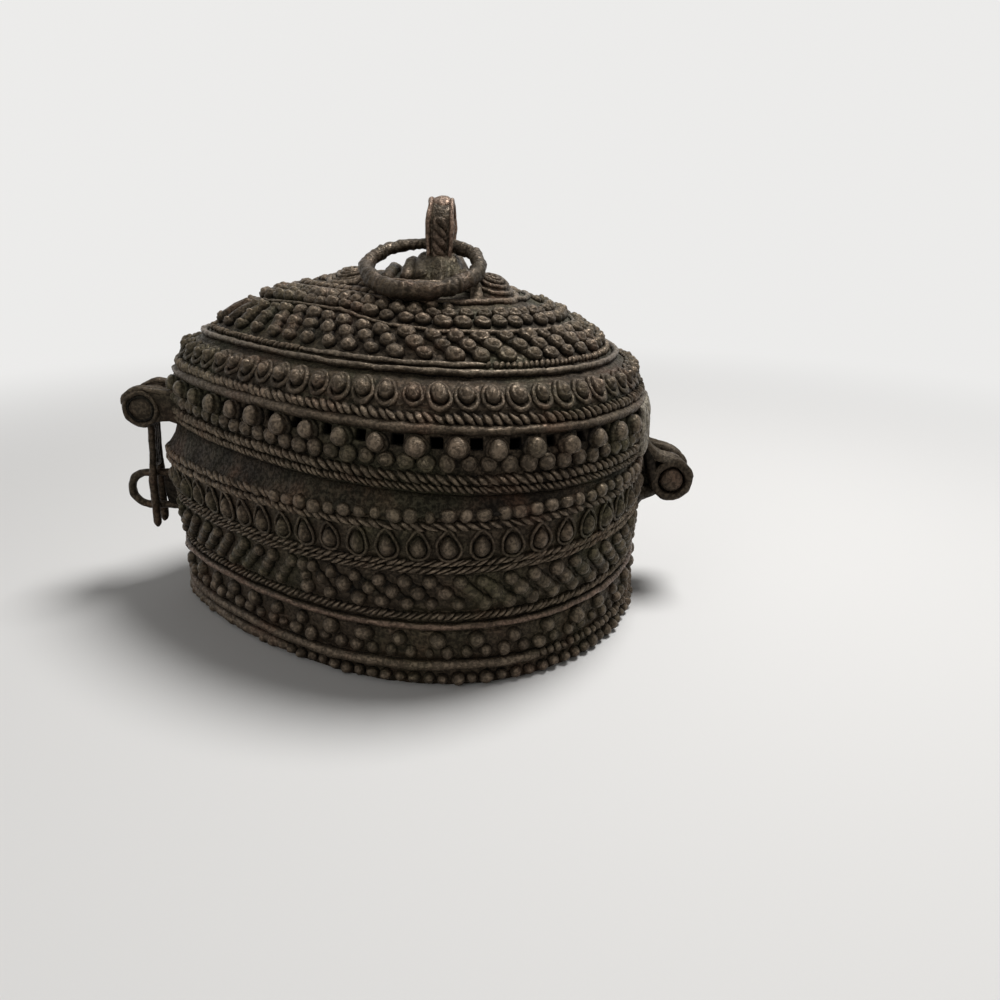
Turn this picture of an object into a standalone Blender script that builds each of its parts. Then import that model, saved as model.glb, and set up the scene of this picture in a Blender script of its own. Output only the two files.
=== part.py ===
"""Beaded brass box: an egg-shaped tub with a domed, pierced lid.

The tub and the lid are lost-wax castings covered in wax-thread rings, ropes
and bead rows.  The lid turns on a pin at the blunt end, a hasp hangs from a
pin at the pointed end and straddles a staple, and a loose ring lies through
the arch on the crown.  The origin is on the table under the middle of the
tub, +X points to the hinge, +Z is up.
"""

import bpy
import bmesh
from math import atan2, cos, hypot, pi, radians, sin, tau
from mathutils import Matrix, Vector

MM = 0.001

# Plan of the box, taken at the lid's belt wire
BELT_HALF_LENGTH = 55.0 * MM
BELT_HALF_DEPTH = 41.25 * MM
EGG_SHARE = 0.346
FULL_SHARE = -0.09
PLAN_STEPS = 42

# Distance that cast pieces modelled apart keep from each other
SEAT_GAP = 0.3 * MM

# Bands of ornament on the tub, laid one above the other from the foot up:
# half the height of each, and how far it stands proud of the wall
BAND_GAP = 0.5 * MM
FOOT_LOW_Z = 0.9 * MM
FOOT_BEADS_HALF = 1.4 * MM
FOOT_BEADS_PROUD = 1.8 * MM
FOOT_RIDGE_HALF = 1.4 * MM
FOOT_RIDGE_PROUD = 1.5 * MM
FOOT_BALLS_HALF = 2.2 * MM
FOOT_BALLS_PROUD = 1.3 * MM
FOOT_RING_HALF = 1.2 * MM
FOOT_RING_PROUD = 1.6 * MM
FOOT_ROPE_HALF = 0.75 * MM
FOOT_ROPE_PROUD = 1.1 * MM
PANEL_HALF = 3.8 * MM
PANEL_PROUD = 1.3 * MM
DOUBLE_ROPE_HALF = 1.15 * MM
DOUBLE_ROPE_PROUD = 1.2 * MM
TUB_DROP_HALF = 3.0 * MM
TUB_DROP_PROUD = 1.2 * MM
SHOULDER_ROPE_HALF = 0.95 * MM
SHOULDER_ROPE_PROUD = 1.3 * MM
SHOULDER_BEAD_HALF = 1.15 * MM
SHOULDER_BEAD_PROUD = 2.0 * MM

# Middle height of each band on the tub
FOOT_BEADS_Z = FOOT_LOW_Z + FOOT_BEADS_HALF
FOOT_RIDGE_Z = FOOT_BEADS_Z + FOOT_BEADS_HALF + BAND_GAP + FOOT_RIDGE_HALF
FOOT_BALLS_Z = FOOT_RIDGE_Z + FOOT_RIDGE_HALF + BAND_GAP + FOOT_BALLS_HALF
FOOT_RING_Z = FOOT_BALLS_Z + FOOT_BALLS_HALF + BAND_GAP + FOOT_RING_HALF
FOOT_ROPE_Z = FOOT_RING_Z + FOOT_RING_HALF + BAND_GAP + FOOT_ROPE_HALF
PANEL_Z = FOOT_ROPE_Z + FOOT_ROPE_HALF + BAND_GAP + PANEL_HALF
DOUBLE_ROPE_Z = PANEL_Z + PANEL_HALF + BAND_GAP + DOUBLE_ROPE_HALF
TUB_DROP_Z = DOUBLE_ROPE_Z + DOUBLE_ROPE_HALF + BAND_GAP + TUB_DROP_HALF
SHOULDER_ROPE_Z = TUB_DROP_Z + TUB_DROP_HALF + BAND_GAP + SHOULDER_ROPE_HALF
SHOULDER_BEADS_Z = SHOULDER_ROPE_Z + SHOULDER_ROPE_HALF + BAND_GAP + SHOULDER_BEAD_HALF

# Tub: how far its wall stands outside the belt plan, at each height
BASE_OUT = 1.2 * MM
WAIST_OUT = 0.7 * MM
WAIST_Z = FOOT_RING_Z
SHOULDER_OUT = 2.2 * MM
SHOULDER_SET = 0.65 * MM
SHOULDER_Z = SHOULDER_BEADS_Z - SHOULDER_SET
TUB_WALL = 2.2 * MM
TUB_FLOOR = 2.6 * MM

# Seat of the lid, in the lid's own frame
SEAT_RISE = 1.4 * MM
SEAT_Z = SHOULDER_Z + SEAT_RISE
SEAT_OUT = 0.9 * MM
NECK_HEIGHT = 4.0 * MM
NECK_WALL = 1.8 * MM
NECK_TAPER = 0.6 * MM
NECK_CLEARANCE = 0.8 * MM

# The lid leans: it sits higher at the hasp than at the hinge
LID_LEAN = radians(2.79)
LEAN_OUT = 5.5 * MM
LEAN_RISE = 1.3 * MM
LEAN_X = BELT_HALF_LENGTH + LEAN_OUT
LEAN_Z = SEAT_Z + LEAN_RISE
LID_SHIFT = 1.5 * MM

# Bands of ornament on the lid's wall, from the rim up, as on the tub
LID_BAND_GAP = 0.3 * MM
RIM_BARE = 0.8 * MM
RIM_ROPE_HALF = 0.8 * MM
RIM_ROPE_PROUD = 1.3 * MM
UPPER_ROPE_HALF = 1.0 * MM
UPPER_ROPE_PROUD = 1.4 * MM
SMALL_BEADS_HALF = 1.05 * MM
SMALL_BEADS_PROUD = 1.6 * MM
OPENWORK_BALL_RADIUS = 1.7 * MM
OPENWORK_BALL_PROUD = 1.7 * MM
OPENWORK_HEIGHT = 2.4 * MM
OPENWORK_COUNT = 42
OPENWORK_SHARE = 0.36
BELT_HALF = 1.15 * MM
BELT_PROUD = 1.7 * MM
BELT_ROPE_HALF = 1.0 * MM
BELT_ROPE_PROUD = 1.3 * MM
LID_DROP_HALF = 1.7 * MM
LID_DROP_PROUD = 1.7 * MM
LID_DROP_COUNT = 60
STEP_BARE = 1.4 * MM

# Middle height of each band on the lid's wall, in the lid's own frame
RIM_ROPE_Z = SEAT_Z + RIM_BARE + RIM_ROPE_HALF
UPPER_ROPE_Z = RIM_ROPE_Z + RIM_ROPE_HALF + LID_BAND_GAP + UPPER_ROPE_HALF
SMALL_BEADS_Z = UPPER_ROPE_Z + UPPER_ROPE_HALF + LID_BAND_GAP + SMALL_BEADS_HALF
OPENWORK_Z = SMALL_BEADS_Z + SMALL_BEADS_HALF + LID_BAND_GAP + OPENWORK_BALL_RADIUS
BELT_Z = OPENWORK_Z + OPENWORK_BALL_RADIUS + LID_BAND_GAP + BELT_HALF
BELT_ROPE_Z = BELT_Z + BELT_HALF + LID_BAND_GAP + BELT_ROPE_HALF
LID_DROP_Z = BELT_ROPE_Z + BELT_ROPE_HALF + LID_BAND_GAP + LID_DROP_HALF
STEP_Z = LID_DROP_Z + LID_DROP_HALF + STEP_BARE

# Lid wall: how far it stands outside the belt plan, and the crown's curve
LID_WALL = 2.0 * MM
RIM_OUT = 0.9 * MM
OPENWORK_OUT = 0.2 * MM
BELT_OUT = -0.8 * MM
DROP_LOW_OUT = -1.2 * MM
DROP_HIGH_OUT = -4.2 * MM
STEP_OUT = -6.9 * MM
CROWN_RISE = 15.6 * MM
CROWN_POWER = 2.3
CROWN_SHARES = (0.9, 0.8, 0.68, 0.54, 0.38, 0.2)
INNER_ROWS_LEFT_OUT = (1, 3, 5, 7, 8)

# Rings on the crown, each at its share of the step's plan
STEP_RING_SHARE = 0.985
STEP_RING_HALF = 1.1 * MM
STEP_RING_PROUD = 1.3 * MM
STEP_ROPE_SHARE = 0.925
STEP_ROPE_HALF = 0.9 * MM
STEP_ROPE_PROUD = 1.2 * MM
LINE_RING_SHARE = 0.775
LINE_RING_HALF = 0.8 * MM
LINE_RING_PROUD = 1.1 * MM
SLOPE_STEP_SHARE = 0.01

# Two staggered rows of beads on the crown, and their band's edges
CROWN_BEAD_SHARES = (0.7, 0.648)
CROWN_BEAD_EDGE_SHARES = (0.735, 0.612)
CROWN_BEAD_COUNT = 56
CROWN_BEAD_PROUD = 1.6 * MM

# How proud a row stands between two beads or drops, of its full reach
SUNK_SHARE = 0.3

# Coiled boss beside the pedestal, placed by shares of the crown's plan
BOSS_X_SHARE = 0.41
BOSS_Y_SHARE = 0.2
BOSS_HALF_LENGTH = 5.0 * MM
BOSS_HALF_DEPTH = 4.4 * MM
BOSS_EDGE = 0.7 * MM
BOSS_SIDE = 1.7 * MM
BOSS_RISE = 2.2 * MM
BOSS_UNDER_SHARE = 0.4
BOSS_SIDE_SHARE = 0.85
BOSS_TOP_SHARE = 0.45
BOSS_STEPS = 12

# Rings narrower than this have three edges, wider ones four
THIN_RING_HALF = 1.45 * MM

# Lid hinge: pin, the lid's two loops and the tub's tongue
HINGE_STAND_OFF = 10.4 * MM
HINGE_DROP = 8.8 * MM
HINGE_X = BELT_HALF_LENGTH + HINGE_STAND_OFF
HINGE_Z = SEAT_Z - HINGE_DROP
HINGE_PIN_RADIUS = 2.6 * MM
HINGE_PIN_REACH = 0.4 * MM
HINGE_LOOP_WALL = 2.2 * MM
HINGE_HALF_WIDTH = 7.0 * MM
TONGUE_HALF_WIDTH = 2.3 * MM
TONGUE_ROOT_HEIGHT = 6.4 * MM
TONGUE_ROOT_DROP = 3.2 * MM
PLATE_THICK = 1.6 * MM
PLATE_BARE = 1.6 * MM
PLATE_HEIGHT = 8.0 * MM
PLATE_LOW_Z = SEAT_Z + PLATE_BARE
PLATE_HIGH_Z = PLATE_LOW_Z + PLATE_HEIGHT
ROUND_STEPS = 24

# Hasp: pin, ears on the lid, forked strap and staple
HASP_STAND_OFF = 6.3 * MM
HASP_RISE = 8.8 * MM
HASP_X = -BELT_HALF_LENGTH - HASP_STAND_OFF
HASP_Z = SEAT_Z + HASP_RISE
HASP_PIN_RADIUS = 2.6 * MM
HASP_EAR_WALL = 1.7 * MM
HASP_EAR_WIDTH = 2.4 * MM
HASP_EAR_ROOT = 3.9 * MM
HASP_HALF_WIDTH = 3.2 * MM
HASP_EYE_WALL = 1.3 * MM
HASP_THICK = 2.0 * MM
HASP_REACH = 31.3 * MM
HASP_LEAN_OUT = 1.8 * MM
HASP_TIP_X = HASP_X - HASP_LEAN_OUT
HASP_TIP_Z = HASP_Z - HASP_REACH
HASP_SLOT_WIDTH = 2.8 * MM
HASP_SLOT_BARE = 0.8 * MM
STAPLE_DROP = 21.1 * MM
STAPLE_Z = HASP_Z - STAPLE_DROP
STAPLE_HALF_HEIGHT = 4.0 * MM
STAPLE_STAND_OFF = 9.1 * MM
STAPLE_BEND_X = -BELT_HALF_LENGTH - STAPLE_STAND_OFF
STAPLE_WIRE = 1.0 * MM
STAPLE_SIDES = 8

# Arch and pedestal on the crown, in the lid's own frame
ARCH_X = 6.6 * MM
ARCH_WIDTH = 6.0 * MM
ARCH_WALL = 2.4 * MM
ARCH_HALF_SPAN = 6.6 * MM
ARCH_LEG = 5.2 * MM
PEDESTAL_RISE = 4.5 * MM
PEDESTAL_TOP_Z = STEP_Z + CROWN_RISE + PEDESTAL_RISE
ARCH_TOP_Z = PEDESTAL_TOP_Z + ARCH_LEG + ARCH_HALF_SPAN
PEDESTAL_X = 1.8 * MM
PEDESTAL_HALF_LENGTH = 10.2 * MM
PEDESTAL_HALF_DEPTH = 11.0 * MM
PEDESTAL_EDGE = 0.9 * MM
PEDESTAL_SIDE = 1.6 * MM
PEDESTAL_SIDE_SHARE = 0.84
PEDESTAL_TOP_HALF_LENGTH = 5.0 * MM
PEDESTAL_TOP_HALF_DEPTH = 7.2 * MM
PEDESTAL_UNDER_SHARES = (0.2, 0.5, 0.8, 1.0)

# Loose ring through the arch
RING_X = 7.0 * MM
RING_RADIUS = 12.35 * MM
RING_WIRE = 1.45 * MM
RING_CLEARANCE = 0.95 * MM
RING_LEAN = radians(20.0)
RING_STEPS = 40
RING_SIDES = 8

# Overrun of every cutter past the face that it cuts
CUT_OVERRUN = 1.0 * MM


def clear_scene():
    for item in list(bpy.data.objects):
        bpy.data.objects.remove(item, do_unlink=True)


def metal(name, color, roughness):
    """One finish of cast brass: colour, roughness and a metallic value."""
    material = bpy.data.materials.new(name)
    material.use_nodes = True
    shader = material.node_tree.nodes["Principled BSDF"]
    shader.inputs["Base Color"].default_value = (*color, 1.0)
    shader.inputs["Roughness"].default_value = roughness
    shader.inputs["Metallic"].default_value = 0.6
    return material


def seat_matrix():
    """Places what is modelled in the lid's own frame on the tub."""
    pivot = Vector((LEAN_X, 0.0, LEAN_Z))
    turn = Matrix.Rotation(LID_LEAN, 4, "Y")
    slide = Matrix.Translation(Vector((LID_SHIFT, 0.0, 0.0)))
    return Matrix.Translation(pivot) @ turn @ Matrix.Translation(-pivot) @ slide


def plan_point(half_length, half_depth, angle):
    """Egg plan: round toward +X, pointed toward -X."""
    swell = 1.0 + EGG_SHARE * cos(angle) + FULL_SHARE * cos(2.0 * angle)
    return Vector((half_length * cos(angle), half_depth * sin(angle) * swell, 0.0))


def plan_angles():
    """Angles of the plan curve, closer together at its pointed end."""
    return [tau * index / PLAN_STEPS for index in range(PLAN_STEPS)]


def even_angles(count, first_share=0.0, width_share=None):
    """Plan angles at an even pitch along the belt wire.

    With width_share, each pitch gives two angles, that share of it apart.
    """
    samples = 1440
    lengths = [0.0]
    last = plan_point(BELT_HALF_LENGTH, BELT_HALF_DEPTH, 0.0)
    for step in range(1, samples + 1):
        here = plan_point(BELT_HALF_LENGTH, BELT_HALF_DEPTH, tau * step / samples)
        lengths.append(lengths[-1] + (here - last).length)
        last = here
    edges = [0.0] if width_share is None else [-width_share / 2.0, width_share / 2.0]
    wanted = [(index + first_share + edge) / count for index in range(count) for edge in edges]
    angles = []
    for share in wanted:
        target = (share % 1.0) * lengths[-1]
        step = 0
        while lengths[step + 1] < target:
            step += 1
        part = (target - lengths[step]) / (lengths[step + 1] - lengths[step])
        angles.append(tau * (step + part) / samples)
    return angles


def at(out, height, on_seat=False):
    """A row of a loft: half length, half depth, height and its frame."""
    return (BELT_HALF_LENGTH + out, BELT_HALF_DEPTH + out, height, on_seat)


def crown_row(share):
    """A row of the crown, from the step ring at 1 to the apex at 0."""
    height = STEP_Z + CROWN_RISE * (1.0 - share ** CROWN_POWER)
    half_length = (BELT_HALF_LENGTH + STEP_OUT) * share
    half_depth = (BELT_HALF_DEPTH + STEP_OUT) * share
    return (half_length, half_depth, height, False)


def moved_in(rows, distance):
    """The same rows, a wall's thickness further in along their normals."""
    moved = []
    for index, row in enumerate(rows):
        before = rows[max(index - 1, 0)]
        after = rows[min(index + 1, len(rows) - 1)]
        along = after[0] - before[0]
        down = after[2] - before[2]
        size = hypot(along, down)
        inward = distance * down / size
        lower = -distance * along / size
        moved.append((row[0] + inward, row[1] + inward, row[2] + lower, row[3]))
    return moved


def build_mesh(name, points, faces):
    mesh = bpy.data.meshes.new(name)
    mesh.from_pydata([tuple(point) for point in points], [], faces)
    work = bmesh.new()
    work.from_mesh(mesh)
    bmesh.ops.recalc_face_normals(work, faces=work.faces)
    work.to_mesh(mesh)
    work.free()
    mesh.shade_smooth()
    mesh.set_sharp_from_angle(angle=radians(38.0))
    return mesh


def loft_mesh(name, rows, angles, closed=False, window_rows=(), window_columns=()):
    """Skin through rows of the plan curve.

    A closed loft joins its last row to its first, an open one has flat ends.
    Where window_rows holds the pairs of rows outside and inside a wall, each
    of window_columns is cut through between them.
    """
    count = len(angles)
    points = []
    for half_length, half_depth, height, on_seat in rows:
        for angle in angles:
            point = plan_point(half_length, half_depth, angle)
            point.z = height
            points.append(SEAT @ point if on_seat else point)
    faces = []
    spans = len(rows) if closed else len(rows) - 1
    for row in range(spans):
        above = row * count
        below = ((row + 1) % len(rows)) * count
        for column in range(count):
            if row in window_rows and column in window_columns:
                continue
            side = (column + 1) % count
            faces.append((above + column, above + side, below + side, below + column))
    if not closed:
        faces.append(tuple(range(count)))
        faces.append(tuple(range((len(rows) - 1) * count, len(rows) * count)))
    if window_rows:
        outer, inner = window_rows
        for column in window_columns:
            side = (column + 1) % count
            loop = [outer * count + column, outer * count + side]
            loop += [(outer + 1) * count + side, (outer + 1) * count + column]
            back = [(inner + 1) * count + column, (inner + 1) * count + side]
            back += [inner * count + side, inner * count + column]
            for edge in range(4):
                turn = (edge + 1) % 4
                faces.append((loop[edge], loop[turn], back[turn], back[edge]))
    return build_mesh(name, points, faces)


def swelling_mesh(name, rows, count):
    """Closed ring that swells count times, as a row of beads does.

    Each row holds its place at a swelling, its place between two, and 0 or 1
    for the columns that its swellings keep, or None where it has none.  No
    edge runs across a face from a swelling, so that each stands as a stud.
    """
    angles = even_angles(2 * count)
    columns = len(angles)
    points = []
    for swollen, sunk, side in rows:
        for column, angle in enumerate(angles):
            half_length, half_depth, height, _ = swollen if column % 2 == side else sunk
            point = plan_point(half_length, half_depth, angle)
            point.z = height
            points.append(point)
    faces = []
    for row in range(len(rows)):
        after = (row + 1) % len(rows)
        for column in range(columns):
            beside = (column + 1) % columns
            corners = [(row, column), (row, beside), (after, beside), (after, column)]
            raised = [index % 2 == rows[level][2] for level, index in corners]
            if raised[0] or raised[2]:
                corners = corners[1:] + corners[:1]
            first, second, third, last = [level * columns + index for level, index in corners]
            faces += [(first, second, third), (first, third, last)]
    return build_mesh(name, points, faces)


def add_object(name, mesh, material, parent=None, seated=False):
    """Link a named piece, under its joint's empty where it moves."""
    piece = bpy.data.objects.new(name, mesh)
    bpy.context.scene.collection.objects.link(piece)
    mesh.materials.append(material)
    if parent is not None:
        piece.parent = parent
        piece.matrix_parent_inverse = Matrix.Translation(-parent.location)
    if seated:
        piece.matrix_basis = SEAT
    return piece


def add_empty(name, place):
    empty = bpy.data.objects.new(name, None)
    empty.location = place
    bpy.context.scene.collection.objects.link(empty)
    return empty


def cut(piece, cutter, operation="DIFFERENCE"):
    """Boolean with a hidden helper, which the model doesn't show."""
    cutter.hide_render = True
    cutter.display_type = "WIRE"
    boolean = piece.modifiers.new(cutter.name, "BOOLEAN")
    boolean.object = cutter
    boolean.operation = operation
    boolean.solver = "EXACT"


def prism_mesh(name, outline, low_y, high_y):
    """Outline in X and Z, extruded along Y."""
    count = len(outline)
    points = [Vector((x, low_y, z)) for x, z in outline]
    points += [Vector((x, high_y, z)) for x, z in outline]
    faces = [tuple(range(count)), tuple(range(2 * count - 1, count - 1, -1))]
    for index in range(count):
        side = (index + 1) % count
        faces.append((index, side, count + side, count + index))
    return build_mesh(name, points, faces)


def arc(center_x, center_z, radius, start, end, steps):
    """Points on an arc in X and Z; angles run from +X toward +Z."""
    shares = [index / steps for index in range(steps + 1)]
    turns = [start + (end - start) * share for share in shares]
    return [(center_x + radius * cos(turn), center_z + radius * sin(turn)) for turn in turns]


def circle(center_x, center_z, radius):
    return arc(center_x, center_z, radius, 0.0, tau, ROUND_STEPS)[:-1]


def helper(name, mesh):
    """An unseen object that only cuts."""
    guide = bpy.data.objects.new(name, mesh)
    bpy.context.scene.collection.objects.link(guide)
    return guide


def tub_out(height):
    """How far the tub's wall stands outside the belt plan at a height."""
    stations = ((0.0, BASE_OUT), (WAIST_Z, WAIST_OUT), (SHOULDER_Z, SHOULDER_OUT))
    for (low, low_out), (high, high_out) in zip(stations, stations[1:]):
        if height <= high:
            return low_out + (high_out - low_out) * (height - low) / (high - low)
    return SHOULDER_OUT


LID_STATIONS = (
    (SEAT_Z + SEAT_GAP, RIM_OUT),
    (OPENWORK_Z - OPENWORK_HEIGHT / 2.0, OPENWORK_OUT + (RIM_OUT - OPENWORK_OUT) / 4.0),
    (OPENWORK_Z + OPENWORK_HEIGHT / 2.0, OPENWORK_OUT),
    (BELT_Z, BELT_OUT),
    (LID_DROP_Z - LID_DROP_HALF, DROP_LOW_OUT),
    (LID_DROP_Z + LID_DROP_HALF, DROP_HIGH_OUT),
    (STEP_Z, STEP_OUT),
)


def lid_out(height):
    """How far the lid's wall stands outside the belt plan at a height."""
    for (low, low_out), (high, high_out) in zip(LID_STATIONS, LID_STATIONS[1:]):
        if height <= high:
            return low_out + (high_out - low_out) * (height - low) / (high - low)
    return STEP_OUT


def wall_ring(wall_out, height, half, proud):
    """Rows of a half-round ring that follows an upright wall."""
    rows = []
    steps = 3 if half > THIN_RING_HALF else 2
    for index in range(steps + 1):
        turn = -pi / 2.0 + pi * index / steps
        level = height + half * sin(turn)
        rows.append(at(wall_out(level) + SEAT_GAP + proud * cos(turn), level))
    return rows


def crown_slope(share):
    """How steeply the crown falls outward, at the ends of its plan."""
    here = crown_row(share)
    near = crown_row(share + SLOPE_STEP_SHARE)
    return atan2(here[2] - near[2], near[0] - here[0])


def crown_lifted(share, lift):
    """A row of the crown, lifted off it at right angles."""
    half_length, half_depth, height, _ = crown_row(share)
    slope = crown_slope(share)
    out = lift * sin(slope)
    return (half_length + out, half_depth + out, height + lift * cos(slope), False)


def crown_ring(share, half, proud):
    """Rows of a half-round ring that lies on the crown."""
    half_length, half_depth, height, _ = crown_row(share)
    slope = crown_slope(share)
    rows = []
    steps = 3 if half > THIN_RING_HALF else 2
    for index in range(steps + 1):
        turn = -pi / 2.0 + pi * index / steps
        along = -half * sin(turn)
        lift = SEAT_GAP + proud * cos(turn)
        out = along * cos(slope) + lift * sin(slope)
        rise = -along * sin(slope) + lift * cos(slope)
        rows.append((half_length + out, half_depth + out, height + rise, False))
    return rows


def ball_row(name, wall_out, height, angles, radius, proud, sides=6, levels=4):
    """A row of flattened balls, half sunk in an upright wall."""
    work = bmesh.new()
    out = wall_out(height)
    for angle in angles:
        here = plan_point(BELT_HALF_LENGTH + out, BELT_HALF_DEPTH + out, angle)
        ahead = plan_point(BELT_HALF_LENGTH + out, BELT_HALF_DEPTH + out, angle + 0.01)
        here.z = height
        turn = Matrix.Rotation(atan2(ahead.y - here.y, ahead.x - here.x), 4, "Z")
        size = Matrix.Diagonal((radius, proud, radius, 1.0))
        place = Matrix.Translation(here) @ turn @ size
        bmesh.ops.create_uvsphere(work, u_segments=sides, v_segments=levels, radius=1.0, matrix=place)
    mesh = bpy.data.meshes.new(name)
    work.to_mesh(mesh)
    work.free()
    mesh.shade_smooth()
    return mesh


def make_tub_shell():
    """Hollow tub: wall, sloping shoulder, ledge and the neck inside the lid."""
    inner_shoulder = SHOULDER_OUT - TUB_WALL
    neck_out = RIM_OUT - LID_WALL - NECK_CLEARANCE
    neck_top = SEAT_Z + NECK_HEIGHT
    rows = [
        at(BASE_OUT, 0.0),
        at(WAIST_OUT, WAIST_Z),
        at(SHOULDER_OUT, SHOULDER_Z),
        at(SEAT_OUT, SEAT_Z, True),
        at(neck_out, SEAT_Z, True),
        at(neck_out - NECK_TAPER, neck_top, True),
        at(neck_out - NECK_WALL, neck_top, True),
        at(neck_out - NECK_WALL, SEAT_Z, True),
        at(inner_shoulder, SHOULDER_Z - NECK_HEIGHT),
        at(WAIST_OUT - TUB_WALL, WAIST_Z),
        at(BASE_OUT - TUB_WALL, TUB_FLOOR),
    ]
    return loft_mesh("body_shell", rows, plan_angles())


def make_lid_shell():
    """Hollow lid: crown, drop band, belt, pierced band and rim."""
    outer = [crown_row(share) for share in reversed(CROWN_SHARES)]
    outer += [at(out, height) for height, out in reversed(LID_STATIONS)]
    rim_index = len(outer) - 1
    inner = moved_in(outer, LID_WALL)
    inner[rim_index] = at(RIM_OUT - LID_WALL, LID_STATIONS[0][0])
    hidden = [row for index, row in enumerate(inner) if index not in INNER_ROWS_LEFT_OUT]
    rows = outer + hidden[::-1]
    outer_window = rim_index - 2
    inner_window = rim_index + 2
    columns = range(0, 2 * OPENWORK_COUNT, 2)
    angles = even_angles(OPENWORK_COUNT, 0.5, OPENWORK_SHARE)
    return loft_mesh("lid_shell", rows, angles, False, (outer_window, inner_window), columns)


def add_lid_shell(material, parent):
    """The pierced lid with a ball on each post between its windows."""
    shell = add_object("lid_shell", make_lid_shell(), material, parent, True)
    balls = ball_row("openwork_balls", lid_out, OPENWORK_Z, even_angles(OPENWORK_COUNT),
                     OPENWORK_BALL_RADIUS, OPENWORK_BALL_PROUD)
    guide = helper("openwork_balls", balls)
    guide.matrix_basis = SEAT
    cut(shell, guide, "UNION")


def add_tub_rings(material):
    """Rings, ropes and bead rows laid on the tub, from the top down."""
    rings = (
        ("body_shoulder_beads", SHOULDER_BEADS_Z, SHOULDER_BEAD_HALF, SHOULDER_BEAD_PROUD),
        ("body_shoulder_rope", SHOULDER_ROPE_Z, SHOULDER_ROPE_HALF, SHOULDER_ROPE_PROUD),
        ("body_drop_band", TUB_DROP_Z, TUB_DROP_HALF, TUB_DROP_PROUD),
        ("body_double_rope", DOUBLE_ROPE_Z, DOUBLE_ROPE_HALF, DOUBLE_ROPE_PROUD),
        ("body_bead_panel", PANEL_Z, PANEL_HALF, PANEL_PROUD),
        ("body_foot_rope", FOOT_ROPE_Z, FOOT_ROPE_HALF, FOOT_ROPE_PROUD),
        ("body_foot_ring", FOOT_RING_Z, FOOT_RING_HALF, FOOT_RING_PROUD),
        ("body_foot_balls", FOOT_BALLS_Z, FOOT_BALLS_HALF, FOOT_BALLS_PROUD),
        ("body_foot_ridge", FOOT_RIDGE_Z, FOOT_RIDGE_HALF, FOOT_RIDGE_PROUD),
        ("body_foot_beads", FOOT_BEADS_Z, FOOT_BEADS_HALF, FOOT_BEADS_PROUD),
    )
    angles = plan_angles()
    for name, height, half, proud in rings:
        rows = wall_ring(tub_out, height, half, proud)
        add_object(name, loft_mesh(name, rows, angles, True), material)


def make_drop_band():
    """Row of drops under the step, each a stud on the wall."""
    low = at(lid_out(LID_DROP_Z - LID_DROP_HALF) + SEAT_GAP, LID_DROP_Z - LID_DROP_HALF)
    high = at(lid_out(LID_DROP_Z + LID_DROP_HALF) + SEAT_GAP, LID_DROP_Z + LID_DROP_HALF)
    wall = lid_out(LID_DROP_Z) + SEAT_GAP
    drop = at(wall + LID_DROP_PROUD, LID_DROP_Z)
    between = at(wall + LID_DROP_PROUD * SUNK_SHARE, LID_DROP_Z)
    rows = [(low, low, None), (drop, between, 0), (high, high, None)]
    return swelling_mesh("lid_drop_band", rows, LID_DROP_COUNT)


def make_crown_beads():
    """Two rows of touching beads round the crown, staggered."""
    outer, inner = [crown_lifted(share, SEAT_GAP) for share in CROWN_BEAD_EDGE_SHARES]
    rows = [(outer, outer, None)]
    for side, share in enumerate(CROWN_BEAD_SHARES):
        swollen = crown_lifted(share, SEAT_GAP + CROWN_BEAD_PROUD)
        sunk = crown_lifted(share, SEAT_GAP + CROWN_BEAD_PROUD * SUNK_SHARE)
        rows.append((swollen, sunk, side))
    rows.append((inner, inner, None))
    return swelling_mesh("crown_top_ring", rows, CROWN_BEAD_COUNT)


def add_lid_rings(material, parent):
    """Rings, ropes and bead rows laid on the lid, from the rim up."""
    angles = plan_angles()
    rings = (
        ("lid_rim_rope", RIM_ROPE_Z, RIM_ROPE_HALF, RIM_ROPE_PROUD),
        ("lid_upper_rope", UPPER_ROPE_Z, UPPER_ROPE_HALF, UPPER_ROPE_PROUD),
        ("lid_small_beads", SMALL_BEADS_Z, SMALL_BEADS_HALF, SMALL_BEADS_PROUD),
        ("lid_belt", BELT_Z, BELT_HALF, BELT_PROUD),
        ("lid_belt_rope", BELT_ROPE_Z, BELT_ROPE_HALF, BELT_ROPE_PROUD),
    )
    for name, height, half, proud in rings:
        rows = wall_ring(lid_out, height, half, proud)
        add_object(name, loft_mesh(name, rows, angles, True), material, parent, True)
    crown = (
        ("lid_step_ring", STEP_RING_SHARE, STEP_RING_HALF, STEP_RING_PROUD),
        ("lid_step_rope", STEP_ROPE_SHARE, STEP_ROPE_HALF, STEP_ROPE_PROUD),
        ("crown_line_ring", LINE_RING_SHARE, LINE_RING_HALF, LINE_RING_PROUD),
    )
    for name, share, half, proud in crown:
        rows = crown_ring(share, half, proud)
        add_object(name, loft_mesh(name, rows, angles, True), material, parent, True)
    add_object("lid_drop_band", make_drop_band(), material, parent, True)
    add_object("crown_top_ring", make_crown_beads(), material, parent, True)


def make_hinge_strap():
    """Plate on the lid, with an arm that curls round the pin at each side."""
    outer = HINGE_PIN_RADIUS + SEAT_GAP + HINGE_LOOP_WALL
    plate_in = plate_face()
    plate_out = plate_in + PLATE_THICK
    outline = [(plate_in, PLATE_HIGH_Z), (plate_in, PLATE_LOW_Z)]
    outline += arc(HINGE_X, HINGE_Z, outer, radians(150.0), radians(405.0), ROUND_STEPS)
    outline += [(plate_out + HINGE_LOOP_WALL, PLATE_LOW_Z), (plate_out, PLATE_LOW_Z + HINGE_LOOP_WALL)]
    outline += [(plate_out, PLATE_HIGH_Z)]
    return prism_mesh("hinge_lid_strap", outline, -HINGE_HALF_WIDTH, HINGE_HALF_WIDTH)


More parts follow.
